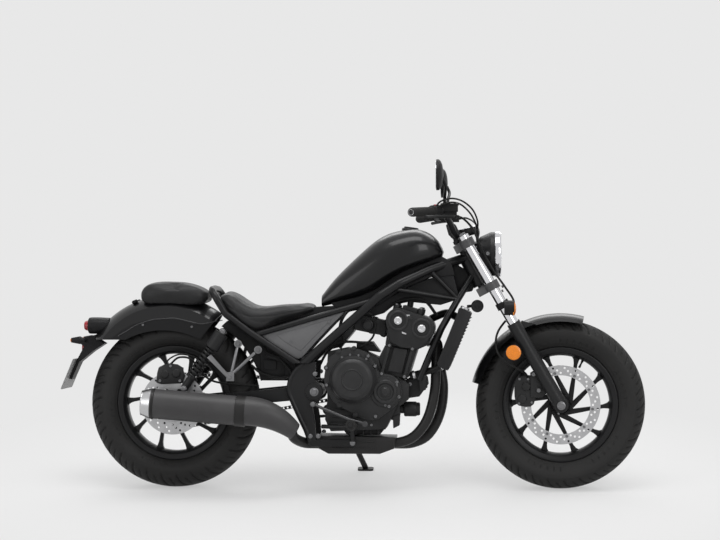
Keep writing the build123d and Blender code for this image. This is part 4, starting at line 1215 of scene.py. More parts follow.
SCREW = screw_head()
NUT = nut_head()
RIGHT = (0, -1, 0)
LEFT = (0, 1, 0)
COVER_FACE = -144


def both(x, y, z, facing, size):
    """The same spot on both sides."""
    other = (facing[0], -facing[1], facing[2])
    return [((x, y, z), facing, size), ((x, -y, z), other, size)]


def engine_screws():
    spots = [((x, COVER_FACE, z), RIGHT, 6.0) for x, z in (
        (590, 463), (592, 398), (749, 508), (775, 470), (858, 410), (866, 354), (828, 318),
        (777, 280))]
    for turns, (x, z), wide, tall, face, facing, size in (
            ((56, 76, 96, 116), CLUTCH, 92, 94, -154, RIGHT, 4.0),
            ((30, 150, 270), CRANK, 51, 51, -146, RIGHT, 4.6),
            (range(0, 360, 45), CRANK, 80, 80, 144, LEFT, 5.0)):
        for turn in turns:
            t = math.radians(turn)
            spots.append(((x + wide * math.cos(t), face, z + tall * math.sin(t)), facing, size))
    for x, z in ((829, 548), (916, 535), (800, 441), (886, 430)):
        spots += both(x, -141, z, RIGHT, 5.5)
    for x in (640, 700, 760):
        spots += both(x, -112, 246, RIGHT, 5.5)
    return spots


def head_nuts():
    spots = []
    for y in (-90, 0, 90):
        spots.append(((856, y, 700), Vector((6, 0, 30)).normalized(), 8.0))
        spots.append(((948, y, 684), Vector((8, 0, 29)).normalized(), 8.0))
    spots += both(904, -62, 399, RIGHT, 9) + both(590, -62, 300, RIGHT, 9)
    return spots


def frame_nuts():
    spots = both(545, -151, 372, RIGHT, 13) + both(199, -174, 600, RIGHT, 9)
    spots += both(52, -174, 384, RIGHT, 9) + both(0, -143, 326, RIGHT, 14)
    spots += both(548, -146, 440, RIGHT, 7) + both(530, -146, 205, RIGHT, 7)
    spots += both(560, -146, 205, RIGHT, 7) + both(690, -146, 179, RIGHT, 8)
    spots += [((541, -165, 326), RIGHT, 7), ((522, 165, 262), LEFT, 7),
              ((665, 185, 180), LEFT, 8)]
    return spots


def fork_nuts():
    spots = both(1476, -145, 322, RIGHT, 13)
    up = Vector((-math.sin(RAKE), 0, math.cos(RAKE)))
    spots.append(((1083, 0, 947), up, 15))
    for side in (-1, 1):
        spots.append(((1476 - 640 * math.tan(math.radians(30)), side * 115, 962), up, 14))
    return spots


def fork_screws():
    spots = []
    ahead = Vector((math.cos(RAKE), 0, math.sin(RAKE)))
    for z, x in ((922, 1155), (756, 1255)):
        for side in (-1, 1):
            spots.append(((x, side * 98, z + 14), ahead, 5.0))
            spots.append(((x, side * 98, z - 2), ahead, 5.0))
    for x, z in ((1373, 439), (1392, 378)):
        spots.append(((x, -106, z), RIGHT, 8.0))
    for x, z in ((1320, 420), (1352, 420), (1318, 328), (1366, 332)):
        spots.append(((x, -91, z), RIGHT, 5.0))
    for side in (-1, 1):
        spots.append(((1300, side * 92, 612), (0, side, 0), 5.5))
        spots.append(((1200, side * 111, 895), (0, side, 0), 7.0))
        spots.append(((1466, side * 122, 292), (-0.5, 0, -0.86), 5.0))
        for x in (1066, 1102):
            spots.append(((x, side * 45, 970), (0, 0, 1), 4.5))
    return spots


def wheel_screws(axle, count, radius, y, facing, size, start):
    spots = []
    for i in range(count):
        t = math.radians(start + i * 360 / count)
        spots.append((axle + Vector((math.cos(t) * radius, y, math.sin(t) * radius)), facing,
                      size))
    return spots


def body_screws():
    """Trim screws of the fender, covers, seat and plate."""
    spots = both(-116, -93, 624, RIGHT, 4.5) + both(72, -93, 617, RIGHT, 4.5)
    spots += both(456, -124, 560, RIGHT, 4.5) + both(600, -124, 636, RIGHT, 4.5)
    spots += [((x, -118, z), RIGHT, 5.5) for x, z in ((-46, 412), (30, 412), (-6, 468))]
    spots += [((-388, side * 85, 478), (-0.924, 0, 0.383), 5) for side in (-1, 1)]
    return spots


scatter("engine_screws", engine_screws(), SCREW, BOLT_STEEL)
scatter("engine_nuts", head_nuts(), NUT, BOLT_STEEL)
scatter("frame_nuts", frame_nuts(), NUT, BOLT_STEEL)
scatter("fork_nuts", fork_nuts(), NUT, BOLT_STEEL, "fork")
scatter("fork_screws", fork_screws(), SCREW, BOLT_STEEL, "fork")
scatter("body_screws", body_screws(), SCREW, BOLT_STEEL)

# Turn of the first spoke, how far beside the axle it runs, radius of the disc's screws
FIRST_SPOKE_TURN = -1 + 10.5
SPOKE_OFFSET = 35
FRONT_DISC_SCREWS = 121
FRONT_DISC_TURN = FIRST_SPOKE_TURN - 90 + math.degrees(math.acos(SPOKE_OFFSET / FRONT_DISC_SCREWS))
scatter("front_disc_screws",
        wheel_screws(FRONT_AXLE, 10, FRONT_DISC_SCREWS, -66.5, RIGHT, 5.5, FRONT_DISC_TURN),
        SCREW, BOLT_STEEL, "front_wheel")
scatter("rear_disc_screws", wheel_screws(REAR_AXLE, 6, 26, -98.5, RIGHT, 5.0, 15)
        + wheel_screws(REAR_AXLE, 5, 48, 97, LEFT, 6.0, 36), SCREW, BOLT_STEEL, "rear_wheel")


# Engine details


def cam_plugs():
    form = Form()
    for x, z in HEAD_LOBES:
        for side in (-1, 1):
            form.lathe([(0, 2.5), (6, 2.5), (7, 3.4), (11, 3.4), (12.5, 2.2), (14.5, 2.0),
                        (15.5, 0.4), (15.5, -1)], (x, side * 150, z), (0, side, 0), 36)
    finish(form, "cam_end_plugs", BRIGHT)


def cover_plugs():
    form = Form()
    turned(form, CRANK, [(0, 163), (4, 163), (5, 161), (12, 161), (15, 159), (16, 157)], 36)
    turned(form, (640, 352), [(0, 145), (9, 145), (11, 143), (11, 138)], 24)
    finish(form, "cover_plugs", COVER_CAST)


def engine_mounts():
    """Brackets from the crankcase to the down tubes."""
    form = Form()
    outline = [(886, 412), (920, 436), (968, 424), (972, 396), (940, 352), (900, 346), (884, 380)]
    form.plate(outline, -60, -69)
    form.plate([(938, 452), (962, 446), (966, 380), (944, 370)], -69, -112)
    form.mirror()
    finish(form, "engine_mounts", SATIN, bevel=1.2)


def cooling_hoses():
    form = Form()
    form.tube(smooth_line([(968, 96, 640), (1000, 104, 655), (1040, 108, 668), (1076, 112, 654),
                           (1096, 112, 640)], 6), 15, 16)
    form.tube(smooth_line([(1034, -104, 480), (1004, -96, 458), (960, -84, 446),
                           (905, -76, 430)], 6), 13, 16)
    finish(form, "cooling_hoses", CABLE)
    form = Form()
    for place, way in (((1090, 112, 645), (20, 0, -14)), ((974, 98, 642), (32, 8, 15)),
                       ((1020, -100, 469), (30, 8, 22)), ((918, -78, 434), (50, 8, 14))):
        form.lathe([(15.4, -5), (17.2, -5), (17.2, 5), (15.4, 5)], place, way, 24, close=True)
    finish(form, "hose_clips", STEEL)


def spark_leads():
    form = Form()
    for y in (-52, 52):
        form.lathe([(0, 46), (8, 46), (10, 40), (10, 8), (13, 4), (13, -4)], (900, y, 684),
                   (0.18, 0, 1), 18)
        form.tube(smooth_line([(908, y, 726), (905, y * 0.9, 748), (880, y * 0.6, 752),
                               (850, y * 0.4, 738)], 5), 4, 10)
    finish(form, "spark_leads", PLASTIC)


def oil_filler():
    form = Form()
    form.lathe([(0, 16), (9, 16), (12, 13), (13, 4), (16, 2), (16, -4)], (640, -108, 500),
               (-0.2, -0.5, 0.9), 24)
    finish(form, "oil_filler", PLASTIC)


cam_plugs()
cover_plugs()
engine_mounts()
cooling_hoses()
spark_leads()
oil_filler()


def radiator_cap():
    form = Form()
    form.lathe([(0, 12), (15, 12), (18, 9), (18, 3), (12, 2), (12, -8)], (1112, -100, 682),
               (0.35, 0, 0.94), 24)
    finish(form, "radiator_cap", STEEL)


def exhaust_details():
    """Port flanges, weld beads and the band where the pipes meet."""
    form = Form()
    for y in (-62, 62):
        form.lathe([(17.4, -4), (30, -4), (31, -2), (31, 4), (28, 6), (17.4, 6)],
                   (984, y, 571), (50, 0, -30), 32, close=True)
    finish(form, "port_flanges", BOLT_STEEL, bevel=0.6)
    spots = []
    for y in (-62, 62):
        for up in (-1, 1):
            spots.append(((988 + 12 * up, y, 569 + 21 * up), (50, 0, -30), 6))
    scatter("port_nuts", spots, NUT, STEEL)
    form = Form()
    for place, way, size in (((800, -62, 174), (1, 0, 0.2), 17.2),
                             ((640, -80, 168), (1, 0, 0), 20),
                             ((560, -85, 174), (1, 0, 0), 20)):
        form.lathe([(size - 1, -3), (size + 1.6, -1.5), (size + 1.6, 1.5), (size - 1, 3)], place,
                   way, 28, close=True)
    finish(form, "weld_beads", PIPE_COAT)


radiator_cap()
exhaust_details()


# Lamps


def headlight():
    centre = Vector((1236, 0, 895))
    glass = Form()
    outside = [(81 * math.sin(i * math.pi / 24), 3 + 15 * math.cos(i * math.pi / 24))
               for i in range(13)]
    inside = [(max(0, r - 2.5 if r else 0), x - 2.5) for r, x in reversed(outside)]
    glass.lathe(outside + [(81, 0), (78.5, 0)] + inside[1:], centre, (1, 0, 0), 72)
    finish(glass, "headlight_glass", GLASS, "fork", replaced=["headlight_lens"])
    ring = Form()
    ring.lathe([(80.5, -4), (80.5, 6), (82, 12), (84.5, 15), (87.2, 12), (88, 5), (88, -6),
                (85.4, -9), (85.2, -4)], centre, (1, 0, 0), 96, close=True)
    finish(ring, "headlight_ring", CHROME, "fork", sharp=40)
    bowl = Form()
    profile = [(12, -54), (26, -46), (44, -32), (60, -16), (72, -5), (79.5, -1), (80, -2.5),
               (72, -8), (60, -19), (44, -35), (26, -49), (12, -57)]
    rings = []
    for radius, along in profile:
        ring_points = []
        for i in range(96):
            t = i * 2 * math.pi / 96
            flute = 1 + (0.012 * math.cos(t * 24) if radius < 79 else 0)
            ring_points.append(centre + Vector((along, math.cos(t) * radius * flute,
                                                math.sin(t) * radius * flute)))
        rings.append(ring_points)
    bowl.skin(rings, close=True)
    finish(bowl, "headlight_reflector", REFLECTOR, "fork", sharp=60)
    bulb = Form()
    bulb.lathe([(0, -58), (11, -58), (11, -44), (7, -40), (7, -24), (9, -22), (9, -10), (6, -6),
                (0, -5)], centre, (1, 0, 0), 28)
    bulb.block(centre + Vector((-14, 0, 0)), (4, 130, 3))
    finish(bulb, "headlight_bulb", STEEL, "fork", bevel=0.5)


def signal_lenses():
    form = Form()
    for side in (-1, 1):
        centre = (1298, side * 196, 688)
        form.lathe([(0, 9), (10, 8.4), (18, 6.4), (24, 3), (26, 0), (26, -3), (0, -3)], centre,
                   (1, 0, 0), 36)
    finish(form, "front_signal_lenses", AMBER_LENS, "fork")
    form = Form()
    for side in (-1, 1):
        centre = (-384, side * 132, 566)
        form.lathe([(0, 4), (5, 3.4), (8, 0), (8.4, -3), (0, -3)], centre, (-1, 0, 0), 28)
    finish(form, "rear_signal_lenses", AMBER_LENS)


def side_reflectors():
    rim = Form()
    lens = Form()
    for side in (-1, 1):
        centre = (1297, side * 141, 522)
        rim.lathe([(0, 0), (29.5, 0), (30.5, 2), (30.5, 7), (28.6, 8), (28.4, 6.5), (0, 6.5)],
                  centre, (0, side, 0), 48)
        rim.tube([(1304, side * 132, 536), (1300, side * 142, 528)], 7, 12)
        lens.lathe([(0, 8.6), (20, 8.4), (27, 7.6), (28.3, 6.6), (28.3, 5), (0, 5)], centre,
                   (0, side, 0), 48)
    finish(rim, "reflector_rims", PLASTIC, "fork")
    finish(lens, "reflector_lenses", AMBER_LENS, "fork")


def tail_details():
    form = Form()
    form.lathe([(0, 2), (14, 2), (15.6, 1), (16, -1), (16, -14), (0, -14)], (-363, 0, 534),
               (-1, 0, 0), 36)
    finish(form, "rear_reflector", RED_LENS)


headlight()
signal_lenses()
side_reflectors()
tail_details()


# Handlebar


def mirror_glasses():
    form = Form()
    for side in (-1, 1):
        form.lathe([(0, 2.2), (50, 2.0), (52.5, 1.0), (53, -1), (0, -1)],
                   (1012, side * 350, 1182), (-1, 0, 0), 48)
    finish(form, "mirror_glasses", MIRROR_GLASS, "fork")


def meter_face():
    tilt = math.radians(15)
    up = Vector((-math.sin(tilt), 0, math.cos(tilt)))
    centre = Vector((1120, 0, 977)) + up * 14
    form = Form()
    form.lathe([(34, 0), (39, 0), (39.5, 2), (37, 4.6), (34.6, 3), (33.5, 0.4)], centre, up, 56,
               close=True)
    finish(form, "meter_ring", CHROME, "fork")
    form = Form()
    form.lathe([(0, 1.6), (30, 1.2), (34.2, 0.8), (34.2, -1), (0, -1)], centre, up, 48)
    finish(form, "meter_glass", TANK_PAINT, "fork")


def grip_ribs():
    """Rubber grips with raised rings and end caps."""
    form = Form()
    for side in (-1, 1):
        start, end = bar_point(side * 285), bar_point(side * 410)
        way = (end - start).normalized()
        length = (end - start).length
        profile = [(11, 0), (21.5, 0), (22.5, 2), (21.5, 4.5), (16.6, 7)]
        along = 9.0
        while along < length - 12:
            profile += [(16.0, along), (17.2, along + 1.2), (17.2, along + 3.2),
                        (16.0, along + 4.4)]
            along += 6.4
        profile += [(16.6, length - 5), (14.5, length), (11, length)]
        form.lathe(profile, start, way, 36, close=True)
    finish(form, "grip_rubbers", RUBBER, "fork", replaced=["handlebar_grips"])
    form = Form()
    for side in (-1, 1):
        end = bar_point(side * 410)
        way = (end - bar_point(side * 285)).normalized()
        form.lathe([(0, -6), (11, -6), (11, -0.5), (14, 0.2), (14.5, 2), (13, 3.2), (0, 3.4)],
                   end - way * 3.4, way, 28)
    finish(form, "bar_end_caps", STEEL, "fork")


def switch_details():
    """Buttons, pivot screws and the reservoir's lid."""
    form = Form()
    for side in (-1, 1):
        inner, outer = bar_point(side * 250), bar_point(side * 280)
        way = (outer - inner).normalized()
        back = Vector((-1, 0, 0.1)).normalized()
        for share, size in ((0.2, 5), (0.55, 4), (0.85, 3.5)):
            place = inner + (outer - inner) * share + back * 18
            form.lathe([(0, 6), (size - 1, 6), (size, 5), (size, -3)], place, back, 18)
        form.block(inner + way * 14 + Vector((-6, 0, 20)), (14, 10, 6))
    finish(form, "switch_buttons", PLASTIC, "fork", bevel=0.6)
    form = Form()
    form.lathe([(0, 3), (5, 3), (6, 2), (6, -1)], bar_point(-262) + Vector((-4, 0, 22)),
               (0, 0, 1), 20)
    finish(form, "stop_switch", RED_LENS, "fork")
    spots = [((x, y, 1079), (0, 0, 1), 3.4) for x in (1032, 1086) for y in (-258, -222)]
    spots += [((1076, side * 240, 1042), (0, 0, 1), 5.0) for side in (-1, 1)]
    scatter("control_screws", spots, SCREW, BOLT_STEEL, "fork")


mirror_glasses()
meter_face()
grip_ribs()
switch_details()


# Frame fillings and covers


def under_tank():
    """Dark slab that fills the tunnel between the tank's belly and the frame tubes, as painted
    shade there, and the seat's base.
    """
    form = Form()
    form.plate([(600, 708), (633, 716), (700, 732), (767, 760), (820, 796), (880, 832),
                (930, 852), (975, 868), (1024, 886), (1060, 866), (1076, 812), (982, 806),
                (869, 756), (793, 706), (760, 690), (700, 680), (640, 668)], -66, 66)
    form.plate([(206, 712), (228, 668), (262, 630), (319, 592), (480, 640), (640, 686),
                (640, 698), (560, 694), (480, 690), (400, 672), (330, 662), (268, 676),
                (226, 716)], -64, 64)
    form.plate([(1030, 866), (1078, 872), (1090, 850), (1112, 838), (1128, 812), (1150, 776),
                (1140, 752), (1086, 744), (1050, 800)], -14, 14)
    finish(form, "under_tank_and_seat", PLASTIC, bevel=5)


def side_panels():
    form = Form()
    outline = [(338, 588), (352, 594), (664, 686), (650, 664), (612, 628), (550, 562),
               (500, 505), (484, 496), (470, 500), (420, 532), (372, 560)]
    form.plate(outline, -124, -112)
    form.plate([(400, 586), (610, 648), (586, 624), (492, 526), (430, 562)], -126, -122)
    form.mirror()
    finish(form, "side_panels", SIDE_PANEL, bevel=2.5, replaced=["side_covers"])


def inner_fender():
    """Guard between the rear wheel and the battery box."""
    form = Form()
    outline = [(345 * math.cos(math.radians(a)), 326 + 345 * math.sin(math.radians(a)))
               for a in range(14, 60, 4)]
    outline += [(206, 640), (292, 590), (338, 556), (338, 414)]
    form.plate(outline, -72, 72)
    finish(form, "inner_fender", PLASTIC, bevel=3)
    form = Form()
    form.plate([(335, 412), (441, 412), (441, 546), (335, 546)], -80, 80)
    form.plate([(346, 452), (396, 452), (396, 492), (346, 492)], -86, -78)
    form.plate([(430, 420), (500, 430), (520, 470), (470, 520), (430, 540)], -96, 96)
    form.plate([(356, 500), (470, 470), (476, 486), (362, 520)], -104, -84)
    finish(form, "battery_case", PLASTIC, bevel=4, replaced=["battery_box"])
    form = Form()
    form.tube(smooth_line([(330, -92, 560), (360, -104, 520), (404, -104, 500),
                           (450, -112, 450), (468, -112, 400)], 5), 5, 10)
    form.tube(smooth_line([(300, -84, 470), (340, -96, 440), (400, -98, 424),
                           (450, -104, 430)], 5), 5, 10)
    finish(form, "side_wiring", CABLE)


def fender_trim():
    line = [(-212, 582), (-178, 601), (-140, 624), (-83, 643), (-45, 647), (1, 650), (31, 645),
            (69, 636), (107, 628), (138, 632), (168, 640)]
    form = Form()
    for side in (-1, 1):
        form.tube(smooth_line([(x, side * 92.4, z) for x, z in line], 5), 1.5, 8)
    finish(form, "fender_trim_line", CLAMP_GREY)
    form = Form()
    for side in (-1, 1):
        form.lathe([(0, 0), (9, 0), (12, 4), (12, 9), (9, 13), (0, 13)], (-152, side * 40, 706),
                   (-0.4, 0, 0.9), 24)
    finish(form, "seat_knobs", PLASTIC)


def pivot_plates():
    """Side plates at the swingarm's pivot, with a round edge at the back."""
    form = Form()
    form.plate([(502, 480), (551, 485), (547, 417), (572, 394), (580, 368), (566, 341), (536, 322),
                (546, 266), (552, 192), (700, 192), (700, 166), (530, 166), (513, 220), (491, 266),
                (460, 334), (447, 371), (449, 405), (464, 443), (482, 466)], 125, 143)
    edge = [(505, 478), (478, 456), (455, 418), (449, 372), (463, 334), (492, 270), (514, 224),
            (531, 176)]
    form.tube(smooth_line([(x, 136, z) for x, z in edge], 6), 10, 16)
    form.lathe([(0, 0), (33, 0), (33, 8), (0, 8)], (545, 143, 372), (0, 1, 0), 48)
    form.mirror()
    finish(form, "pivot_side_plates", FRAME_COAT, bevel=3, replaced=["pivot_plates"])


def rear_brake_hose():
    form = Form()
    form.tube(smooth_line([(-8, -108, 474), (24, -106, 500), (70, -102, 494), (104, -98, 450),
                           (150, -96, 412), (230, -94, 398), (330, -94, 392)], 6), 4, 12)
    form.tube(smooth_line([(-30, -104, 470), (-10, -106, 496), (30, -104, 512), (86, -100, 500),
                           (122, -98, 462)], 6), 3, 12)
    finish(form, "rear_brake_hose_run", CABLE)


def riser_clamps():
    """Blocks that hold the handlebar over the upper clamp."""
    form = Form()
    form.plate([(1040, 1004), (1056, 1020), (1078, 1006), (1090, 980), (1098, 956), (1066, 952),
                (1050, 968)], 20, 46)
    form.mirror()
    finish(form, "handlebar_risers", SATIN, "fork", bevel=3)


def pegs():
    form = Form()
    for side in (-1, 1):
        form.tube([(690, side * 136, 179), (690, side * 180, 238)], 9, 16)
        form.tube([(573, side * 136, 241), (690, side * 178, 241)], 8, 16)
        form.tube([(690, side * 174, 244), (690, side * 278, 254)], 9, 16)
        form.block((690, side * 178, 243), (34, 22, 26))
    finish(form, "peg_hangers", SATIN, bevel=2, replaced=["footrests"])
    form = Form()
    form.tube([(541, -157, 326), (683, -182, 269), (742, -192, 254)], 6, 14)
    form.lathe([(0, 0), (11, 0), (11, 20), (0, 20)], (541, -145, 326), RIGHT, 24)
    form.tube([(742, -186, 254), (742, -236, 256)], 11, 20)
    form.tube([(522, 157, 262), (640, 184, 270), (742, 190, 262)], 6, 14)
    form.lathe([(0, 0), (11, 0), (11, 20), (0, 20)], (522, 145, 262), LEFT, 24)
    form.tube([(742, 186, 262), (742, 236, 264)], 10, 20)
    finish(form, "pedal_and_shift_lever", DARK_STEEL, bevel=1.5, replaced=["foot_levers"])
    form = Form()
    for side in (-1, 1):
        for i in range(5):
            y = side * (200 + i * 16)
            form.lathe([(9, -7), (19, -7), (20, -5), (20, 5), (19, 7), (9, 7)],
                       (690, y, 247 + i * 1.5), (0, 1, side * 0.09), 28, close=True)
    finish(form, "peg_rubbers", RUBBER)
    form = Form()
    for side in (-1, 1):
        for x, z in ((257, 554), (333, 531)):
            form.lathe([(7, -5), (15, -5), (15, 5), (7, 5)], (x, side * 158, z), (0, 1, 0), 28,
                       close=True)
            form.tube([(x + (231 - x) * 0.12, side * 158, z + (434 - z) * 0.12),
                       (231, side * 166, 436)], 7, 14)
        form.block((230, side * 172, 430), (30, 26, 34))
        form.prism([(226, side * 186 - 6, 418), (236, side * 186 - 6, 426),
                    (158, side * 186 - 6, 514), (142, side * 186 - 6, 502)], (0, 12, 0))
    finish(form, "passenger_pegs", PEG_ALLOY, bevel=2.5)
    spots = both(257, -164, 554, RIGHT, 8) + both(333, -164, 531, RIGHT, 8)
    spots += both(230, -186, 430, RIGHT, 6)
    scatter("passenger_peg_bolts", spots, SCREW, BOLT_STEEL)


# Wheels


SPOKE_DEPTH = 13


def wheel_form(name, axle, rim_half, hub_half, body, node, bosses):
    form = Form()
    w = rim_half
    form.lathe([(193, 0), (193, w * 0.4), (203, w * 0.65), (203, w - 1), (219, w), (219, w + 5),
                (216, w + 6.5), (210, w + 6), (205, w + 4), (197, w + 3), (190, w * 0.72),
                (186, w * 0.5), (186, 0), (186, -w * 0.5), (190, -w * 0.72), (197, -w - 3),
                (205, -w - 4), (210, -w - 6), (216, -w - 6.5), (219, -w - 5), (219, -w),
                (203, 1 - w), (203, -w * 0.65), (193, -w * 0.4)], axle, (0, 1, 0), 120,
               close=True)
    form.lathe([(10.3, -hub_half), (28, -hub_half), (29, -hub_half + 2), (38, -22), (38, 22),
                (29, hub_half - 2), (28, hub_half), (10.3, hub_half)], axle, (0, 1, 0), 60,
               close=True)
    reach = math.sqrt(189 ** 2 - SPOKE_OFFSET ** 2)
    for number in range(10):
        turn = math.radians(FIRST_SPOKE_TURN + number * 36)
        along = Vector((math.cos(turn), 0, math.sin(turn)))
        across = Vector((-math.sin(turn), 0, math.cos(turn)))
        outline = [(0, -11), (70, -9), (130, -6.5), (160, -7.5), (176, -11), (reach, -18),
                   (reach, 18), (176, 11), (160, 7.5), (130, 6.5), (70, 9), (0, 11)]
        points = [axle + along * u + across * (v - SPOKE_OFFSET) - Vector((0, SPOKE_DEPTH, 0))
                  for u, v in outline]
        form.prism(points, (0, 2 * SPOKE_DEPTH, 0))
    if bosses:
        for spot, _, _ in wheel_screws(axle, 10, FRONT_DISC_SCREWS, 0, RIGHT, 1,
                                       FRONT_DISC_TURN):
            form.lathe([(0, 0), (9, 0), (9, 61.5), (0, 61.5)], spot, (0, -1, 0), 20)
    finish(form, name, WHEEL_COAT, body, bevel=3, sharp=50, replaced=[node])
    form = Form()
    turn = math.radians(63)
    out = Vector((math.cos(turn), 0, math.sin(turn)))
    form.lathe([(0, 0), (5, 0), (5, 8), (3.5, 10), (3.5, 22), (4.5, 23), (4.5, 33), (0, 34)],
               axle + out * 187 + Vector((0, -6, 0)), -out + Vector((0, -0.5, 0)), 16)
    finish(form, name + "_valve", RUBBER, body)


# Radiator


def radiator_case():
    form = Form()
    for side in (-1, 1):
        form.plate([(1092, 686), (1100, 690), (1134, 674), (1138, 666), (1054, 458),
                    (1046, 454), (1014, 468), (1008, 478)], side * 120, side * 150)
    form.plate([(1098, 676), (1130, 662), (1048, 462), (1018, 476)], -118, 118)
    form.plate([(1092, 690), (1136, 672), (1130, 658), (1086, 676)], -124, 124)
    form.plate([(1016, 488), (1058, 470), (1050, 452), (1008, 472)], -124, 124)
    finish(form, "radiator_case", RADIATOR_COAT, bevel=4, replaced=["radiator"])
    form = Form()
    for i in range(14):
        share = (i + 0.5) / 14
        x, z = 1128 - share * 76, 652 - share * 178
        form.plate([(x, z), (x + 12, z + 5), (x + 12, z + 8), (x, z + 3)], -118, 118)
    finish(form, "radiator_slats", PLASTIC)
    form = Form()
    form.lathe([(0, 0), (10, 0), (10, 18), (8, 20), (0, 20)], (1160, -24, 696), (0, -1, 0), 24)
    form.lathe([(0, 10), (23, 10), (24, 12), (24, 22), (21, 24), (0, 22)], (1160, -20, 696),
               (0, -1, 0), 36)
    form.plate([(1120, 700), (1160, 704), (1160, 694), (1120, 688)], -22, -16)
    finish(form, "horn", SATIN)


under_tank()
side_panels()
inner_fender()
fender_trim()
pivot_plates()
rear_brake_hose()
riser_clamps()
pegs()
wheel_form("front_wheel_cast", FRONT_AXLE, 38, 52, "front_wheel", "front_wheel_casting", True)
wheel_form("rear_wheel_cast", REAR_AXLE, 48, 78, "rear_wheel", "rear_wheel_casting", False)
radiator_case()


# Drive chain


CHAIN_PITCH = 15.875
CHAIN_PIN_REACH = 7.94
CHAIN_LINE = 94


def chain_loop():
    """Points a pitch apart round both sprockets."""
    rear, front = REAR_AXLE, Vector((607, 0, 372))
    rear_radius, front_radius = 104, 36
    span = front - rear
    lean = math.atan2(span.z, span.x)
    spread = math.acos((rear_radius - front_radius) / span.length)
    outline = []
    for centre, radius, start, end in (
            (rear, rear_radius, lean + spread, lean + 2 * math.pi - spread),
            (front, front_radius, lean - spread, lean + spread)):
        for i in range(61):
            t = start + (end - start) * i / 60
            outline.append(centre + Vector((math.cos(t), 0, math.sin(t))) * radius)
    outline.append(outline[0])
    lengths = [0.0]
    for a, b in zip(outline, outline[1:]):
        lengths.append(lengths[-1] + (b - a).length)
    count = 2 * round(lengths[-1] / CHAIN_PITCH / 2)
    spots = []
    index = 0
    for i in range(count):
        want = lengths[-1] * i / count
        while lengths[index + 1] < want:
            index += 1
        share = (want - lengths[index]) / (lengths[index + 1] - lengths[index])
        spots.append(outline[index].lerp(outline[index + 1], share))
    return spots


def chain_link(name, y_outer, with_rollers):
    """Pair of side plates with their pins or rollers, one pitch long, of real size."""
    form = Form()
    waist, round_end, plate = 5.0, 7.2, 1.8
    for side in (-1, 1):
        outline = []
        for end in (1, -1):
            for i in range(9):
                t = math.radians(-100 + i * 25) + (0 if end > 0 else math.pi)
                outline.append((end * CHAIN_PIN_REACH + round_end * math.cos(t),
                                round_end * math.sin(t)))
            outline.append((0, end * waist))
        form.plate(outline, side * y_outer, side * (y_outer - plate))
    profile, sides = [(0, -7.0), (2.2, -7.0), (2.6, -6.6), (2.6, 6.6), (2.2, 7.0), (0, 7.0)], 10
    if with_rollers:
        profile, sides = [(0, -5.2), (5.0, -5.2), (5.0, 5.2), (0, 5.2)], 12
    for end in (-1, 1):
        form.lathe(profile, (end * CHAIN_PIN_REACH, 0, 0), (0, 1, 0), sides)
    return small_part(form, name)


def make_chain(name, first, y_outer, with_rollers, material, replaced=()):
    """Every second link of the chain, from the first one on."""
    points = chain_loop()
    spots = []
    for i in range(first, len(points), 2):
        a, b = points[i], points[(i + 1) % len(points)]
        spots.append(((a + b) / 2 + Vector((0, CHAIN_LINE, 0)), LEFT, 1, b - a))
    part = chain_link(name + "_link", y_outer, with_rollers)
    scatter(name, spots, part, material, replaced=replaced)
    bpy.data.objects.remove(part)


make_chain("chain_outer_links", 0, 6.4, False, STEEL, ["drive_chain"])
make_chain("chain_inner_links", 1, 4.6, True, DARK_STEEL)


# Seats: vinyl over foam, swollen a little under its cover by a cloth simulation

CUSHION_VOXEL = 0.0055
CUSHION_SHRINK = 0.004
CUSHION_PRESSURE = 3.0
CUSHION_SWELL_LIMIT = 0.006
CUSHION_STEPS = 20
SEAM_WIDTH = 3.0
SEAM_DEPTH = 0.0022
FAR_OFF = 999.0


def solid_copy(node_name):
    """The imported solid's mesh with its doubles merged, as a bmesh in packed metres."""
    bm = bmesh.new()
    bm.from_mesh(nodes[node_name].data)
    bmesh.ops.remove_doubles(bm, verts=bm.verts, dist=0.00001)
    bmesh.ops.recalc_face_normals(bm, faces=bm.faces)
    return bm


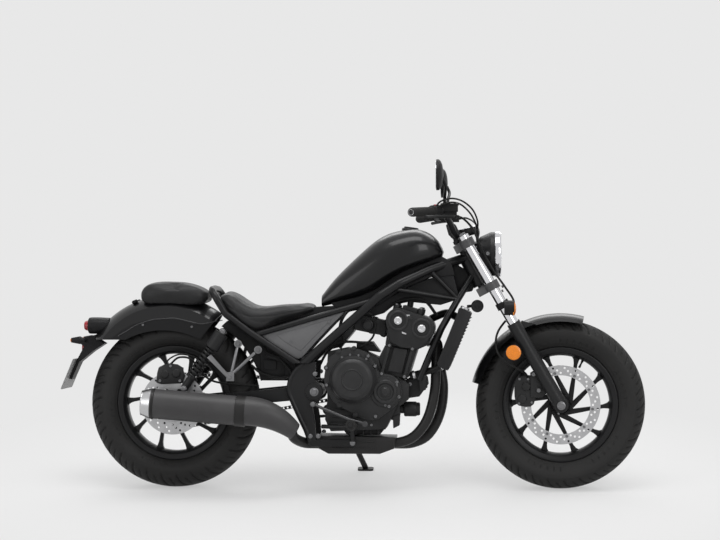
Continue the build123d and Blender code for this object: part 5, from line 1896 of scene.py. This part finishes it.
def make_cushion(node_name, name):
    """Cushion from the node's solid: remeshed, filled by a cloth simulation and smoothed."""
    bm = solid_copy(node_name)
    mesh = bpy.data.meshes.new(name)
    bm.to_mesh(mesh)
    bm.free()
    mesh.materials.clear()
    mesh.materials.append(VINYL)
    cushion = bpy.data.objects.new(name, mesh)
    bpy.context.scene.collection.objects.link(cushion)
    remesh = cushion.modifiers.new("remesh", "REMESH")
    remesh.mode = "VOXEL"
    remesh.voxel_size = CUSHION_VOXEL
    smooth = cushion.modifiers.new("smooth", "SMOOTH")
    smooth.factor = 0.5
    smooth.iterations = 4
    bpy.context.view_layer.update()
    shaped = cushion.evaluated_get(bpy.context.evaluated_depsgraph_get())
    base = bpy.data.meshes.new_from_object(shaped)
    cushion.modifiers.clear()
    cushion.data = base
    bm = bmesh.new()
    bm.from_mesh(base)
    bm.normal_update()
    for vert in bm.verts:
        vert.co -= vert.normal * CUSHION_SHRINK
    bm.to_mesh(base)
    bm.free()
    start = [vert.co.copy() for vert in base.vertices]
    cloth = cushion.modifiers.new("cloth", "CLOTH")
    cloth.settings.quality = 4
    cloth.settings.mass = 0.3
    cloth.settings.tension_stiffness = 18
    cloth.settings.compression_stiffness = 18
    cloth.settings.use_pressure = True
    cloth.settings.uniform_pressure_force = CUSHION_PRESSURE
    cloth.settings.effector_weights.gravity = 0
    cloth.collision_settings.use_collision = False
    cloth.point_cache.frame_start = 1
    cloth.point_cache.frame_end = CUSHION_STEPS
    scene = bpy.context.scene
    for step in range(1, CUSHION_STEPS + 1):
        scene.frame_set(step)
    shaped = cushion.evaluated_get(bpy.context.evaluated_depsgraph_get())
    filled = bpy.data.meshes.new_from_object(shaped)
    cushion.modifiers.clear()
    for vert, first in zip(filled.vertices, start):
        move = vert.co - first
        if move.length > CUSHION_SWELL_LIMIT:
            vert.co = first + move.normalized() * CUSHION_SWELL_LIMIT
    cushion.data = filled
    scene.frame_set(1)
    return cushion


def seam_distance(place, points):
    """Height of a place over a line of (x, z) points, in the side view."""
    for (x0, z0), (x1, z1) in zip(points, points[1:]):
        if x0 <= place.x <= x1:
            return place.z - (z0 + (z1 - z0) * (place.x - x0) / (x1 - x0))
    return FAR_OFF


def dress_cushion(cushion, node_name, seam):
    """Presses the seam into the cushion and sets it on the frame."""
    mesh = cushion.data
    back = BIKE.inverted()
    bm = bmesh.new()
    bm.from_mesh(mesh)
    bm.normal_update()
    for vert in bm.verts:
        off = seam_distance(back @ vert.co, seam)
        press = math.exp(-(off / SEAM_WIDTH) ** 2) if abs(off) < SEAM_WIDTH * 2 else 0.0
        vert.co -= vert.normal * press * SEAM_DEPTH
    bm.to_mesh(mesh)
    bm.free()
    mesh.name = cushion.name
    mesh.materials.clear()
    mesh.materials.append(VINYL)
    mesh.polygons.foreach_set("use_smooth", [True] * len(mesh.polygons))
    rounding = cushion.modifiers.new("rounding", "SUBSURF")
    rounding.levels = 1
    rounding.render_levels = 1
    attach(cushion, "frame")
    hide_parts(node_name)


RIDER_SEAM = [(176, 727), (212, 696), (268, 665), (306, 654), (383, 658), (441, 671), (525, 686)]
for node_name, name, seam in (("rider_seat", "rider_cushion", RIDER_SEAM),
                              ("pillion_seat", "pillion_cushion", [])):
    dress_cushion(make_cushion(node_name, name), node_name, seam)

for helper in (SCREW, NUT):
    bpy.data.objects.remove(helper)


# Floor, light and camera

BACKDROP = 0.807
SIDE_LIGHT = 0.16
TOP_LIGHT = 0.85
BACK_LIGHT = 0.45


def backdrop_seen(tree):
    """1 for rays that show the plain backdrop: those of the camera, of metal and of glass."""
    path = add_node(tree, "ShaderNodeLightPath")
    first = add_node(tree, "ShaderNodeMath", {0: path.outputs["Is Camera Ray"],
                                              1: path.outputs["Is Glossy Ray"]})
    both_rays = add_node(tree, "ShaderNodeMath", {0: first.outputs[0],
                                                  1: path.outputs["Is Transmission Ray"]},
                         use_clamp=True)
    return both_rays.outputs[0]


FLOOR_REACH = 60
FADE_START = 0.9
FADE_LENGTH = 0.9
NEAR_SHARE = 0.55


def stage_floor():
    """Level floor that keeps the shadow; far from the wheels it fades into the backdrop."""
    mesh = bpy.data.meshes.new("floor")
    size = FLOOR_REACH
    low = cad_box[0].z
    mesh.from_pydata([(-size, -size, low), (size, -size, low), (size, size, low),
                      (-size, size, low)], [], [(0, 1, 2, 3)])
    floor = bpy.data.objects.new("floor", mesh)
    bpy.context.scene.collection.objects.link(floor)
    s = Shader("floor_pale", (0.64, 0.64, 0.64), 0.95, 0.0, 0.0)
    s.set("Base Color", s.mix(s.noise(3, 2), (0.635, 0.635, 0.635), (0.645, 0.645, 0.645)))
    flat = s.node("ShaderNodeEmission", None, {"Color": (BACKDROP,) * 3, "Strength": 1.0})
    offset = s.node("ShaderNodeVectorMath", {"operation": "LENGTH"}, {0: s.place()}, "Value")
    far = ((offset - FADE_START) / FADE_LENGTH).clamp()
    share = Socket(s, backdrop_seen(s.tree)) * (NEAR_SHARE + far * (1 - NEAR_SHARE))
    blend = s.node("ShaderNodeMixShader", None,
                   {0: share, 1: Socket(s, s.surface.outputs[0]), 2: flat})
    s.tree.links.new(blend.value, s.tree.nodes["Material Output"].inputs["Surface"])
    floor.data.materials.append(s.material)


def world_light():
    """Soft light from above and behind; the backdrop is one plain colour."""
    world = bpy.data.worlds.new("studio")
    bpy.context.scene.world = world
    world.use_nodes = True
    tree = world.node_tree
    tree.nodes.clear()
    coordinates = add_node(tree, "ShaderNodeTexCoord")
    ways = add_node(tree, "ShaderNodeSeparateXYZ", {0: coordinates.outputs["Generated"]})
    above = add_node(tree, "ShaderNodeMapRange", {
        "Value": ways.outputs["Z"], "From Min": 0.05, "From Max": 0.75, "To Min": SIDE_LIGHT,
        "To Max": TOP_LIGHT}, interpolation_type="SMOOTHSTEP")
    behind = add_node(tree, "ShaderNodeMapRange", {
        "Value": ways.outputs["Y"], "From Min": -0.1, "From Max": 0.7, "To Min": 0.0,
        "To Max": BACK_LIGHT}, interpolation_type="SMOOTHSTEP")
    total = add_node(tree, "ShaderNodeMath", {0: above.outputs[0], 1: behind.outputs[0]})
    soft = add_node(tree, "ShaderNodeBackground", {"Color": (1, 1, 1, 1),
                                                   "Strength": total.outputs[0]})
    plain = add_node(tree, "ShaderNodeBackground", {
        "Color": (BACKDROP, BACKDROP, BACKDROP, 1), "Strength": 1.0})
    mix = add_node(tree, "ShaderNodeMixShader", {0: backdrop_seen(tree), 1: soft.outputs[0],
                                                 2: plain.outputs[0]})
    add_node(tree, "ShaderNodeOutputWorld", {0: mix.outputs[0]})


def area_light(name, place, aim, size, power):
    data = bpy.data.lights.new(name, "AREA")
    data.shape = "RECTANGLE"
    data.size, data.size_y = size
    data.energy = power
    lamp = bpy.data.objects.new(name, data)
    lamp.location = place
    lamp.rotation_euler = (Vector(aim) - Vector(place)).to_track_quat("-Z", "Y").to_euler()
    bpy.context.scene.collection.objects.link(lamp)


# Pixel places in the picture, and what one pixel spans on the motorcycle's mid-plane
PICTURE_WIDTH = 720
MM_PER_PIXEL = 3.84
REAR_AXLE_PIXEL = 175.2
GROUND_PIXEL = 487.2
MIDDLE_PIXEL = (360, 270)
SENSOR_WIDTH = 36
CAMERA_PLACE = (1247, -9000, 757)


def camera():
    """Camera square to the leaning motorcycle's plane, a little right of its middle."""
    data = bpy.data.cameras.new("camera")
    data.sensor_width = SENSOR_WIDTH
    aim = BIKE @ Vector(((MIDDLE_PIXEL[0] - REAR_AXLE_PIXEL) * MM_PER_PIXEL, 0,
                         (GROUND_PIXEL - MIDDLE_PIXEL[1]) * MM_PER_PIXEL))
    place = BIKE @ Vector(CAMERA_PLACE)
    data.lens = SENSOR_WIDTH * (place - aim).length / (PICTURE_WIDTH * MM_PER_PIXEL * MM)
    cam = bpy.data.objects.new("camera", data)
    back = (place - aim).normalized()
    right = UP.cross(back).normalized()
    up = back.cross(right)
    cam.matrix_world = Matrix((
        (right.x, up.x, back.x, place.x),
        (right.y, up.y, back.y, place.y),
        (right.z, up.z, back.z, place.z),
        (0, 0, 0, 1)))
    bpy.context.scene.collection.objects.link(cam)
    bpy.context.scene.camera = cam


stage_floor()
world_light()
area_light("overhead", (0.1, -0.6, 4.2), (0, 0, 0.4), (3.4, 1.8), 95)
area_light("key", (2.6, -3.4, 2.6), (0.2, 0, 0.5), (1.4, 2.2), 45)
area_light("fill", (-3.2, -3.2, 1.8), (0, 0, 0.5), (1.6, 2.4), 26)
area_light("rim", (0.3, 3.2, 2.8), (0, 0, 0.7), (3.6, 1.2), 40)
camera()
bpy.context.scene.view_settings.view_transform = "Standard"
